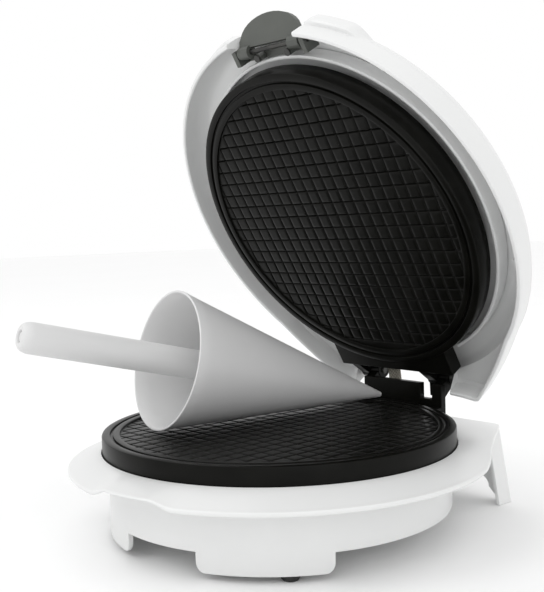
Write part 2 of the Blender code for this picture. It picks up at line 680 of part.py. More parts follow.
def lid_body(name, inset, low, look=None):
    """The dome with its squared front and its two rear corners, as one solid."""
    made = turned(name, dome_profile(RIM_RADIUS, low - 0.007, LID_TOP, inset) + [(0, low - 0.007)], look)
    edge = LID_TOP - LID_HEIGHT * 0.10 - inset
    flat = math.degrees(math.acos((GRIP_REACH - inset) / (GRIP_RADIUS - inset)))
    ledge = arc(GRIP_RADIUS - inset, -GRIP_ANGLE, -flat, 6) + arc(GRIP_RADIUS - inset, flat, GRIP_ANGLE, 6)
    front = prism(name + "_front", ledge, RIM_Z + GRIP_RISE + inset, edge)
    rear = prism(name + "_rear", shell_outline(RIM_RADIUS - 0.0008, inset), low - 0.009, edge - LID_HEIGHT * 0.20)
    keep = box(name + "_rear_keep", (-0.2, -0.2, -0.1), (0.2, 0.06, 0.2))
    soften(rear, 0.0040, 2, 60)
    cut(rear, keep)
    trim = box(name + "_trim", (-0.2, -0.2, low - 0.1), (0.2, 0.2, low))
    return cut(join(made, front, rear), trim)


def lid_shell(parent):
    made = lid_body("lid_shell", 0.0, RIM_Z, "white")
    inside = lid_body("lid_room", WALL, RIM_Z - 0.01)
    cut(made, inside)
    arms, lugs = hinge_spans()
    notch = box("lid_notch", (arms[0][0] - NOTCH_GAP, RIM_RADIUS - 0.022, RIM_Z - 0.02),
                (lugs[1][1] + NOTCH_GAP, CORNER_REACH + 0.02, HINGE_RISE + KNUCKLE_RADIUS + 2 * MOVE))
    half = LATCH_HALF_WIDTH + 0.0015
    slot = box("lid_slot", (LATCH_X - half, -GRIP_REACH - 0.02, RIM_Z - 0.02),
               (LATCH_X + half, -LATCH_REACH + 0.0010, LID_TOP + 0.01))
    cut(made, notch, slot)
    for k in range(3):
        x, y = polar(BOSS_CIRCLE, 60 + 120 * k)
        post = rod("lid_post_%d" % k, (x, y, UPPER_BACK + GAP), (x, y, LID_TOP - WALL + 0.002), BOSS_RADIUS)
        bore = rod("lid_bore_%d" % k, (x, y, UPPER_BACK - 0.004), (x, y, LID_TOP - WALL - 0.001), SCREW_RADIUS + RUN)
        join(made, post)
        cut(made, bore)
    for x in (-LAMP_X, LAMP_X):
        hole = rod("lamp_hole_%s" % ("left" if x < 0 else "right"), (x, -LAMP_REACH, LID_TOP - 0.01),
                   (x, -LAMP_REACH, LID_TOP + 0.02), LAMP_RADIUS + GAP)
        cut(made, hole)
    made.parent = parent
    return smooth(made)


LAMP_X, LAMP_REACH, LAMP_RADIUS = 0.009, 0.080, 0.0032


def pilot_lenses(parent):
    for side, sign, look in (("red", -1, "red"), ("green", 1, "green")):
        flat = RIM_RADIUS - SHOULDER
        top = LID_TOP + CROWN * (1 - (LAMP_REACH / flat) ** 2)
        made = turned("pilot_lens_" + side, [
            (0, top + 0.0012), (LAMP_RADIUS * 0.7, top + 0.0009), (LAMP_RADIUS, top + 0.0002),
            (LAMP_RADIUS, top - 0.0050), (0, top - 0.0050)], look, SMALL)
        made.location = (sign * LAMP_X, -LAMP_REACH, 0)
        made.parent = parent
        smooth(made)


def lid_liner(parent):
    """Ring wall round the upper plate, hung from the inside of the lid."""
    top = LID_TOP - WALL - GAP - 0.0015
    made = turned("lid_liner", [
        (LINER_RADIUS + WALL * 0.8, LINER_EDGE + 0.0006), (LINER_RADIUS + WALL * 0.6, LINER_EDGE),
        (LINER_RADIUS, LINER_EDGE), (LINER_RADIUS, top), (LINER_RADIUS - 0.008, top),
        (LINER_RADIUS - 0.008, top + 0.0015), (LINER_RADIUS + WALL * 0.8, top + 0.0015)], "white", closed=True)
    gate = box("liner_gate", (-TAB_HALF_WIDTH - MOVE, 0.03, LINER_EDGE - 0.01), (TAB_HALF_WIDTH + MOVE, 0.13, top - 0.0001))
    sleeve_gate = box("liner_sleeve_gate", (SLEEVE_X - 0.012, 0.08, top - 0.002), (SLEEVE_X + 0.006, 0.13, top + 0.01))
    cut(made, gate, sleeve_gate)
    made.parent = parent
    return smooth(made)


def upper_plate(parent):
    face = plate_face(UPPER_FACE, -1)
    made = turned("upper_plate", [
        (0, UPPER_BACK), (PLATE_RADIUS - 0.001, UPPER_BACK), (PLATE_RADIUS, UPPER_BACK - 0.001)]
        + face[::-1], "cast")
    tab_low, tab_high = UPPER_FACE + 0.0010, UPPER_BACK - 0.0015
    tab = box("tab", (-TAB_HALF_WIDTH, PLATE_RADIUS * 0.85, tab_low), (TAB_HALF_WIDTH, TAB_REACH, tab_high))
    join(made, tab)
    for k, (low_x, high_x) in enumerate(hinge_spans()[0]):
        arm = sideways("arm_%d" % k, [
            (TAB_REACH - 0.004, tab_low + 0.0015), (TAB_REACH, tab_low + 0.0015),
            (HINGE_REACH + 0.0031, HINGE_RISE - 0.0035), (HINGE_REACH - 0.0004, HINGE_RISE + 0.0045),
            (TAB_REACH - 0.004, tab_high - 0.0012)], low_x + 0.0004, high_x - 0.0004)
        join(made, arm, knuckle("arm_eye_%d" % k, low_x, high_x))
        cut(made, pin_bore("arm_bore_%d" % k, low_x, high_x))
    for k in range(3):
        x, y = polar(BOSS_CIRCLE, 60 + 120 * k)
        low, high = UPPER_BACK - 0.0070, LID_TOP - WALL - 0.0015
        cut(made, rod("upper_hole_%d" % k, (x, y, low - GAP), (x, y, UPPER_BACK + 0.01), SCREW_RADIUS + RUN))
        stud = rod("plate_stud_%d" % (k + 1), (x, y, low), (x, y, high), SCREW_RADIUS, "steel", 12)
        stud.parent = parent
        smooth(stud)
    made.parent = parent
    return smooth(made)


def latch(parent):
    """The lever, drawn level and forward on its pivot, then tilted up to where it rests."""
    pivot = bpy.data.objects.new("latch_axis", None)
    bpy.data.collections["waffle_cone_maker"].objects.link(pivot)
    pivot.location = (LATCH_X, -LATCH_REACH, LATCH_RISE)
    pivot.parent = parent
    half, thick = LATCH_HALF_WIDTH, LATCH_THICKNESS
    outline = [(half, -0.0022), (half, -0.0060)]
    for k in range(1, 16):
        turn = math.radians(180 * k / 16)
        outline.append((half * 0.96 * math.cos(turn), -0.0060 - (LATCH_LENGTH - 0.0060) * math.sin(turn)))
    outline += [(-half, -0.0060), (-half, -0.0022)]
    lever = prism("latch_lever", outline, -thick / 2, thick / 2, "grey")
    for k, (low_x, high_x) in enumerate(((-half, -half + 0.008), (half - 0.008, half))):
        join(lever, rod("latch_eye_%d" % k, (low_x, 0, 0), (high_x, 0, 0), LATCH_EYE))
        cut(lever, rod("latch_bore_%d" % k, (low_x - 0.001, 0, 0), (high_x + 0.001, 0, 0), LATCH_PIN + RUN))
    lever.parent = pivot
    smooth(lever)
    pin = rod("latch_pin", (-half - 0.0038, 0, 0), (half + 0.0038, 0, 0), LATCH_PIN, "steel", 16)
    pin.parent = pivot
    smooth(pin)
    pivot.rotation_euler = (math.radians(-LATCH_TILT), 0, 0)
    return pivot


def latch_carrier(parent):
    """Carrier screwed into the lid's channel: a plate with two ears for the pin and two screw bosses."""
    half = LATCH_HALF_WIDTH
    pin_y, pin_z = -LATCH_REACH, LATCH_RISE
    low = LATCH_RISE + LATCH_EYE + MOVE
    high = low + CARRIER_THICKNESS
    back = -LINER_RADIUS - WALL * 0.8 - GAP
    made = box("latch_carrier", (LATCH_X - half - 0.0040, pin_y + 0.0018, low),
               (LATCH_X + half + 0.0040, back, high), "grey")
    for k, x in enumerate((LATCH_X - half - 0.0025, LATCH_X + half + 0.0025)):
        ear = box("ear_%d" % k, (x - 0.0015, pin_y - 0.0022, pin_z - 0.0032), (x + 0.0015, back, low + 0.001))
        join(made, ear)
        cut(made, rod("ear_bore_%d" % k, (x - 0.004, pin_y, pin_z), (x + 0.004, pin_y, pin_z),
                      LATCH_PIN + RUN))
    ceiling = LID_TOP - WALL - GAP
    for k, sign in enumerate((-1, 1)):
        tube = (back - pin_y - LATCH_PIN - MOVE) / 2
        x, y = LATCH_X + sign * CARRIER_BOSS, back - tube
        end = low - 0.0050
        join(made, rod("carrier_tube_%d" % k, (x, y, end), (x, y, ceiling), tube))
        cut(made, rod("carrier_bore_%d" % k, (x, y, end - 0.01), (x, y, ceiling + 0.01), SCREW_RADIUS * 0.8 + RUN))
        fix = turned("latch_screw_" + ("left" if sign < 0 else "right"), [
            (0, ceiling - 0.0010), (SCREW_RADIUS * 0.8, ceiling - 0.0010), (SCREW_RADIUS * 0.8, end - GAP),
            (0.0020, end - GAP), (0.0020, end - 0.0013), (0, end - 0.0013)], "steel", 16)
        fix.location = (x, y, 0)
        fix.parent = parent
        smooth(fix)
    made.parent = parent
    return smooth(made)


# The cone roller

def cone_roller():
    """Cone and handle on one axis, lying on the plate's sealing ring along one side of the cone."""
    axis = bpy.data.objects.new("roller_axis", None)
    bpy.data.collections["waffle_cone_maker"].objects.link(axis)
    half = math.radians(CONE_HALF_ANGLE)
    slope = math.tan(half)
    mouth = CONE_TIP_RADIUS + CONE_LENGTH * slope
    wall = CONE_WALL / math.cos(half)
    length = CONE_LENGTH
    foot = HANDLE_RADIUS * 0.55
    seat = (foot + GAP * 2 + wall - CONE_TIP_RADIUS) / slope
    cone = turned("roller_cone", [
        (0, seat), (foot + GAP * 2, seat), (mouth - wall, length), (mouth - wall * 0.3, length),
        (mouth, length - wall * 0.3), (CONE_TIP_RADIUS, 0.0006), (CONE_TIP_RADIUS * 0.6, 0), (0, 0)], "roller")
    far = length + HANDLE_LENGTH
    handle = turned("roller_handle", [
        (0, far - 0.0025), (HANDLE_RADIUS * 0.42, far - 0.0025), (HANDLE_RADIUS * 0.42, far - 0.0004),
        (HANDLE_RADIUS * 0.62, far), (HANDLE_RADIUS * 0.86, far - 0.0012), (HANDLE_RADIUS * 0.97, far - 0.0040),
        (HANDLE_RADIUS, far - 0.0090), (HANDLE_RADIUS, seat + 0.0300), (foot, seat + 0.0100),
        (foot, seat + GAP), (0, seat + GAP)], "roller", 32)
    plug = turned("roller_plug", [
        (0, far - 0.0009), (HANDLE_RADIUS * 0.30, far - 0.0009), (HANDLE_RADIUS * 0.38, far - 0.0014),
        (HANDLE_RADIUS * 0.38, far - 0.0022), (0, far - 0.0022)], "roller", SMALL)
    for made in (cone, handle, plug):
        made.parent = axis
        smooth(made)
    # the cone's lowest side lies level: its axis rises by the half angle
    turn = math.radians(180 + CONE_TURN)
    lift = (CONE_TIP_RADIUS / math.cos(half)) + GAP
    rise = Matrix.Rotation(math.radians(90 - CONE_HALF_ANGLE), 4, "X")
    axis.matrix_world = (Matrix.Translation((CONE_TIP_X, CONE_TIP_Y, SEAL_TOP + lift))
                         @ Matrix.Rotation(-math.radians(CONE_TURN), 4, "Z") @ rise)
    return axis


def open_and_stand(lid_axis, roots):
    """Opens the lid, then moves everything so that the machine's box stands centred on the origin."""
    lid_axis.rotation_euler = (math.radians(-OPEN_ANGLE), 0, 0)
    bpy.context.view_layer.update()
    graph = bpy.context.evaluated_depsgraph_get()
    points = []
    for made in bpy.data.collections["waffle_cone_maker"].objects:
        if made.type == "EMPTY":
            continue
        solid = made.evaluated_get(graph)
        mesh = solid.to_mesh()
        points += [solid.matrix_world @ v.co for v in mesh.vertices]
        solid.to_mesh_clear()
    low = Vector(min(p[i] for p in points) for i in range(3))
    high = Vector(max(p[i] for p in points) for i in range(3))
    shift = Vector((-(low.x + high.x) / 2, -(low.y + high.y) / 2, -low.z))
    machine = bpy.data.objects.new("machine", None)
    bpy.data.collections["waffle_cone_maker"].objects.link(machine)
    for made in roots():
        if made is not machine:
            made.parent = machine
    machine.location = shift


def main():
    for made in list(bpy.data.objects):
        bpy.data.objects.remove(made)
    collection("waffle_cone_maker")
    collection(CUTTERS)
    lid_axis = bpy.data.objects.new("lid_axis", None)
    bpy.data.collections["waffle_cone_maker"].objects.link(lid_axis)
    lid_axis.location = (0, HINGE_REACH, HINGE_RISE)
    on_lid = bpy.data.objects.new("closed_lid", None)
    bpy.data.collections["waffle_cone_maker"].objects.link(on_lid)
    on_lid.location = (0, -HINGE_REACH, -HINGE_RISE)
    on_lid.parent = lid_axis

    base_shell()
    base_cover()
    rubber_feet()
    lower_plate()
    heater("lower_heater", -PLATE_SINK - HEATER_TUBE - GAP, -1)
    reflector("lower_reflector", -PLATE_SINK, -1, 0)
    small_parts()
    cord_gland()
    hinge_pins()
    wire_sleeve()
    for k in range(3):
        screw("plate_screw_%d" % (k + 1), *polar(BOSS_CIRCLE, 120 * k), -SHELF_DEPTH - WALL - GAP, 0.0120)
    for k in range(4):
        screw("cover_screw_%d" % (k + 1), *polar(BOSS_CIRCLE, 45 + 90 * k), cover_top() - COVER_THICKNESS - GAP, 0.0080)

    lid_shell(on_lid)
    lid_liner(on_lid)
    upper_plate(on_lid)
    heater("upper_heater", UPPER_BACK + HEATER_TUBE + GAP, 1, parent=on_lid)
    reflector("upper_reflector", UPPER_BACK, 1, 60, on_lid)
    pilot_lenses(on_lid)
    latch(on_lid)
    latch_carrier(on_lid)
    cone_roller()

    def roots():
        return [o for o in bpy.data.collections["waffle_cone_maker"].objects if o.parent is None]

    open_and_stand(lid_axis, roots)


main()
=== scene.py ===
import json
import math

import bmesh
import bpy
import numpy as np
from mathutils import Matrix, Vector


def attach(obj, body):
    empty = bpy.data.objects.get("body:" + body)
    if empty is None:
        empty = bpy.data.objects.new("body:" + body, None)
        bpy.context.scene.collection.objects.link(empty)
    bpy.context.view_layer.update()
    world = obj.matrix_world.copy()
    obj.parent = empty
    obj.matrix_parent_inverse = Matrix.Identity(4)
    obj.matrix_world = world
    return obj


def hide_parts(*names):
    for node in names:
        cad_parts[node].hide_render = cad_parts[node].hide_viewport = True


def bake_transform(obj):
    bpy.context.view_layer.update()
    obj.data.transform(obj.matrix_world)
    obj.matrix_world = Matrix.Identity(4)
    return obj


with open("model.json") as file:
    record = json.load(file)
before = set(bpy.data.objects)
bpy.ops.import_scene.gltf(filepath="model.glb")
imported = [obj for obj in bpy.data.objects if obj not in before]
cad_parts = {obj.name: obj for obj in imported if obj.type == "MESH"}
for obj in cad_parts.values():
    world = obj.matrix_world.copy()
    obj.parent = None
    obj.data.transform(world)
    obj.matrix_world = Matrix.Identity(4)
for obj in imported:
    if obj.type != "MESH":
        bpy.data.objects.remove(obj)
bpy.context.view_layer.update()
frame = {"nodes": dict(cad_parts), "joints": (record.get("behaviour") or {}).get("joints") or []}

# the shapes below are drawn closed, in metres, with the plates' axis on Z and the front at -Y
hingeAt = np.array(next(j["pos_m"] for j in frame["joints"] if j["name"] == "lid_hinge"))
hingeDrawn = np.array([0.0, 0.1133, 0.0227])
lidOpen = math.radians(59.5)


def onBase(points):
    # slides drawn points to where the machine stands
    return points + hingeAt - hingeDrawn


def onLid(points):
    # turns drawn points back about the hinge line by the open angle
    y, z = points[..., 1] - hingeDrawn[1], points[..., 2] - hingeDrawn[2]
    c, s = math.cos(lidOpen), math.sin(lidOpen)
    return np.stack([points[..., 0], y * c + z * s, z * c - y * s], axis=-1) + [0, hingeAt[1], hingeAt[2]]


def smoothStep(value, low, high):
    # 0 below low, 1 above high, an S between them
    t = np.clip((value - low) / (high - low), 0, 1)
    return t * t * (3 - 2 * t)


def gridFaces(rows, columns, closedRows=False, closedColumns=False):
    # quads between neighbours of a rows x columns grid of points
    i = np.arange(rows if closedRows else rows - 1)[:, None]
    j = np.arange(columns if closedColumns else columns - 1)[None, :]
    nextI, nextJ = (i + 1) % rows, (j + 1) % columns
    corners = [i * columns + j, nextI * columns + j, nextI * columns + nextJ, i * columns + nextJ]
    return np.stack(corners, axis=-1).reshape(-1, 4)


def ringPart(profile, angles, closedLoop=True, wholeTurn=True):
    # carries (radius, height) columns round Z; each may be one number or one per angle,
    # with the angles measured from the front towards +X
    count = len(angles)
    radius = np.stack([np.broadcast_to(r, count) for r, z in profile], axis=1)
    height = np.stack([np.broadcast_to(z, count) for r, z in profile], axis=1)
    turn = angles[:, None]
    points = np.stack([radius * np.sin(turn), -radius * np.cos(turn), height], axis=-1)
    faces = gridFaces(count, len(profile), wholeTurn, closedLoop).tolist()
    if not wholeTurn:
        faces += [list(range(len(profile))), list(range(len(profile) * (count - 1), len(profile) * count))]
    return points.reshape(-1, 3), faces


def extrudedPart(outline, near, far, axis):
    # carries a flat outline from near to far along an axis; the outline's two numbers are
    # the other two axes in order
    flat = np.array(outline, float)
    rings = [np.insert(flat, axis, depth, axis=1) for depth in (near, far)]
    count = len(flat)
    faces = gridFaces(2, count, False, True).tolist()
    faces += [list(range(count)), list(range(count, 2 * count))]
    return np.concatenate(rings), faces


def blockPart(low, high):
    # a plain block between two opposite corners
    (x0, y0, z0), (x1, y1, z1) = low, high
    return extrudedPart([(y0, z0), (y1, z0), (y1, z1), (y0, z1)], x0, x1, 0)


def rodPart(start, end, radius, steps=48):
    # a round bar between two points, with its ends closed by flat faces
    start, end = np.array(start, float), np.array(end, float)
    along = (end - start) / np.linalg.norm(end - start)
    side = np.cross(along, [0, 0, 1.0] if abs(along[2]) < 0.9 else [1.0, 0, 0])
    side /= np.linalg.norm(side)
    up = np.cross(along, side)
    turn = np.linspace(0, 2 * np.pi, steps, endpoint=False)[:, None]
    circle = radius * (np.cos(turn) * side + np.sin(turn) * up)
    faces = gridFaces(2, steps, False, True).tolist()
    faces += [list(range(steps)), list(range(steps, 2 * steps))]
    return np.concatenate([start + circle, end + circle]), faces


weldDistance = 0.000002


def makePiece(name, parts, place, finish, body, standsFor=(), sharpAngle=32, bevel=0.0):
    # joins closed parts into one mesh, faces outward, and says what it rides on and stands for
    points, faces, first = [], [], 0
    for partPoints, partFaces in parts:
        points.append(place(partPoints))
        faces += [[first + index for index in face] for face in partFaces]
        first += len(partPoints)
    mesh = bpy.data.meshes.new(name)
    mesh.from_pydata(np.concatenate(points).tolist(), [], faces)
    form = bmesh.new()
    form.from_mesh(mesh)
    bmesh.ops.remove_doubles(form, verts=form.verts, dist=weldDistance)
    bmesh.ops.dissolve_degenerate(form, edges=form.edges, dist=weldDistance / 2)
    bmesh.ops.recalc_face_normals(form, faces=form.faces)
    form.to_mesh(mesh)
    form.free()
    mesh.shade_smooth()
    mesh.set_sharp_from_angle(angle=math.radians(sharpAngle))
    mesh.materials.append(finish)
    piece = bpy.data.objects.new(name, mesh)
    bpy.context.scene.collection.objects.link(piece)
    if bevel:
        edge = piece.modifiers.new("softEdge", "BEVEL")
        edge.width = bevel
        edge.segments = 2
        edge.limit_method = "ANGLE"
        edge.angle_limit = math.radians(40)
        edge.harden_normals = True
    if body:
        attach(piece, body)
    if standsFor:
        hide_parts(*standsFor)
    return piece


# Finishes

def newFinish(name):
    finish = bpy.data.materials.new(name)
    finish.use_nodes = True
    return finish, finish.node_tree.nodes, finish.node_tree.links


def grainFinish(name, dark, light, scale, rough, grainScale, grainHeight, metallic=0.0, coat=0.0,
                stretch=(1, 1, 1), specular=0.5):
    # colour runs between two tones over a slow noise, gloss follows the same noise,
    # and a fine noise lifts the surface
    finish, nodes, links = newFinish(name)
    shader = nodes["Principled BSDF"]
    shader.inputs["Metallic"].default_value = metallic
    shader.inputs["Coat Weight"].default_value = coat
    shader.inputs["Coat Roughness"].default_value = 0.12
    shader.inputs["Specular IOR Level"].default_value = specular
    where = nodes.new("ShaderNodeTexCoord")
    fit = nodes.new("ShaderNodeMapping")
    fit.inputs["Scale"].default_value = stretch
    links.new(where.outputs["Object"], fit.inputs["Vector"])
    slow = nodes.new("ShaderNodeTexNoise")
    slow.inputs["Scale"].default_value = scale
    slow.inputs["Detail"].default_value = 5
    links.new(fit.outputs["Vector"], slow.inputs["Vector"])
    tone = nodes.new("ShaderNodeValToRGB")
    tone.color_ramp.elements[0].position, tone.color_ramp.elements[1].position = 0.3, 0.7
    tone.color_ramp.elements[0].color = (*dark, 1)
    tone.color_ramp.elements[1].color = (*light, 1)
    links.new(slow.outputs["Fac"], tone.inputs["Fac"])
    links.new(tone.outputs["Color"], shader.inputs["Base Color"])
    gloss = nodes.new("ShaderNodeMapRange")
    gloss.inputs["To Min"].default_value, gloss.inputs["To Max"].default_value = rough
    links.new(slow.outputs["Fac"], gloss.inputs["Value"])
    links.new(gloss.outputs["Result"], shader.inputs["Roughness"])
    fine = nodes.new("ShaderNodeTexNoise")
    fine.inputs["Scale"].default_value = grainScale
    fine.inputs["Detail"].default_value = 3
    links.new(fit.outputs["Vector"], fine.inputs["Vector"])
    lift = nodes.new("ShaderNodeBump")
    lift.inputs["Distance"].default_value = grainHeight
    lift.inputs["Strength"].default_value = 1.0
    links.new(fine.outputs["Fac"], lift.inputs["Height"])
    links.new(lift.outputs["Normal"], shader.inputs["Normal"])
    return finish


def braidFinish(name):
    # two families of slanted bands over the tube's own map, light yarn over darker, raised where bands pass
    finish, nodes, links = newFinish(name)
    shader = nodes["Principled BSDF"]
    shader.inputs["Roughness"].default_value = 0.75
    where = nodes.new("ShaderNodeTexCoord")
    waves = []
    for turn in (0.6, -0.6):
        fit = nodes.new("ShaderNodeMapping")
        fit.inputs["Rotation"].default_value = (0, 0, turn)
        links.new(where.outputs["UV"], fit.inputs["Vector"])
        wave = nodes.new("ShaderNodeTexWave")
        wave.inputs["Scale"].default_value = 260
        wave.inputs["Distortion"].default_value = 0.6
        links.new(fit.outputs["Vector"], wave.inputs["Vector"])
        waves.append(wave)
    cross = nodes.new("ShaderNodeMath")
    cross.operation = "MAXIMUM"
    links.new(waves[0].outputs["Fac"], cross.inputs[0])
    links.new(waves[1].outputs["Fac"], cross.inputs[1])
    tone = nodes.new("ShaderNodeValToRGB")
    tone.color_ramp.elements[0].color = (0.12, 0.11, 0.09, 1)
    tone.color_ramp.elements[1].color = (0.46, 0.43, 0.36, 1)
    links.new(cross.outputs["Value"], tone.inputs["Fac"])
    links.new(tone.outputs["Color"], shader.inputs["Base Color"])
    lift = nodes.new("ShaderNodeBump")
    lift.inputs["Distance"].default_value = 0.0003
    links.new(cross.outputs["Value"], lift.inputs["Height"])
    links.new(lift.outputs["Normal"], shader.inputs["Normal"])
    return finish


whitePlastic = grainFinish("whitePlastic", (0.745, 0.75, 0.748), (0.775, 0.78, 0.776),
    9, (0.26, 0.34), 900, 0.00002, coat=0.15)
castPlate = grainFinish("castPlate", (0.0028, 0.0028, 0.0022), (0.0052, 0.0052, 0.0042),
    60, (0.26, 0.36), 1500, 0.00001, specular=0.10)
greyPlastic = grainFinish("greyPlastic", (0.060, 0.065, 0.058), (0.085, 0.09, 0.08),
    40, (0.38, 0.5), 1800, 0.00003)
rollerPlastic = grainFinish("rollerPlastic", (0.66, 0.66, 0.66), (0.70, 0.70, 0.70),
    14, (0.42, 0.52), 1300, 0.00003)
blackSteel = grainFinish("blackSteel", (0.03, 0.03, 0.03), (0.07, 0.07, 0.065),
    120, (0.35, 0.5), 2000, 0.00003, metallic=0.6)
brightSteel = grainFinish("brightSteel", (0.42, 0.42, 0.42), (0.62, 0.62, 0.61),
    90, (0.25, 0.42), 1600, 0.00002, metallic=1.0, stretch=(1, 6, 1))
tinSheet = grainFinish("tinSheet", (0.45, 0.45, 0.44), (0.66, 0.66, 0.65),
    50, (0.35, 0.5), 900, 0.00004, metallic=1.0)
footRubber = grainFinish("footRubber", (0.012, 0.012, 0.012), (0.026, 0.026, 0.025),
    80, (0.7, 0.85), 1800, 0.00006)
firedClay = grainFinish("firedClay", (0.60, 0.57, 0.50), (0.72, 0.69, 0.62),
    70, (0.55, 0.7), 1400, 0.00005)
redGlow = grainFinish("redGlow", (0.42, 0.015, 0.010), (0.55, 0.03, 0.02),
    120, (0.10, 0.18), 900, 0.00002, coat=0.5)
greenGlow = grainFinish("greenGlow", (0.03, 0.30, 0.06), (0.05, 0.42, 0.10),
    120, (0.10, 0.18), 900, 0.00002, coat=0.5)
sleeveBraid = braidFinish("sleeveBraid")

finishOf = {
    "base_cover": whitePlastic, "roller_plug": rollerPlastic,
    "latch_carrier": greyPlastic, "latch_lever": greyPlastic,
    "latch_pin": blackSteel, "latch_screw_left": blackSteel, "latch_screw_right": blackSteel,
    "hinge_pin_left": blackSteel, "hinge_pin_right": blackSteel,
    "cord_gland": footRubber, "rubber_foot_left": footRubber, "rubber_foot_right": footRubber,
    "pilot_lens_red": redGlow, "pilot_lens_green": greenGlow,
    "base_thermostat": firedClay, "terminal_block": firedClay, "thermal_fuse": brightSteel,
    "lower_reflector": tinSheet, "upper_reflector": tinSheet,
}
for nodeName, node in frame["nodes"].items():
    node.data.materials.clear()
    node.data.materials.append(finishOf.get(nodeName, brightSteel))
print("finishes made")


# Outline shared by the shells: a circle drawn out to two rear corners

def shellOutline(angles, radius, corner=(0.0605, 0.1175), softness=0.0012):
    # the nearer of the flat rear line and the line from the corner that touches the circle,
    # eased at the corner
    behind = np.pi - np.abs(angles)
    reach = math.hypot(*corner)
    touch = math.atan2(*corner) + math.acos(min(1.0, radius / reach))
    rear = corner[1] / np.maximum(np.cos(behind), 0.2)
    flank = np.where(behind < touch, radius / np.cos(np.minimum(touch - behind, 1.3)), radius)
    eased = -softness * np.log(np.exp(-rear / softness) + np.exp(-flank / softness))
    return np.where(behind < touch, np.minimum(np.maximum(eased, radius), np.minimum(rear, flank)), radius)


def shellAngles(count, *extra):
    whole = np.linspace(-np.pi, np.pi, count, endpoint=False)
    return np.unique(np.round(np.concatenate([whole, *[np.atleast_1d(e) for e in extra]]), 7))


# The base housing

baseShape = {
    "wellRadius": 0.0954, "flangeRadius": 0.1130, "deckRadius": 0.1118, "wall": 0.0025, "drop": 0.0068,
    "deckDrop": 0.0016, "rimHeight": 0.0026, "rimRoll": 0.0010, "skirtRadius": 0.0921, "skirtBottom": 0.0333,
    "blockBottom": 0.0430, "blockMiddles": (42.6, -27.9), "blockHalf": 20.5, "blockRound": 0.0046,
    "lipFrom": (-6.0, 1.5), "lipTo": (15.5, 23.0), "lipDrop": 0.0039, "lipHeight": 0.0016,
    "footOffset": 7.6, "padHalf": 4.0, "padDepth": 0.012, "padHeight": 0.006, "floorDepth": 0.0462,
    "legSpread": 0.0085, "legDepth": 0.0120, "legWidth": 0.0075, "cornerX": 0.0605, "cornerY": 0.1175,
    "legTop": 0.0026, "panel": 0.0021, "archInset": 0.012, "archRound": 0.006,
    "wellRound": 0.0008, "wellDepth": 0.0048, "underFlange": 0.0073, "skirtFillet": 0.0035,
    "shelfTop": 0.0205, "shelfBottom": 0.0230, "shelfHole": 0.066, "deckFrom": 112, "deckTo": 138,
}


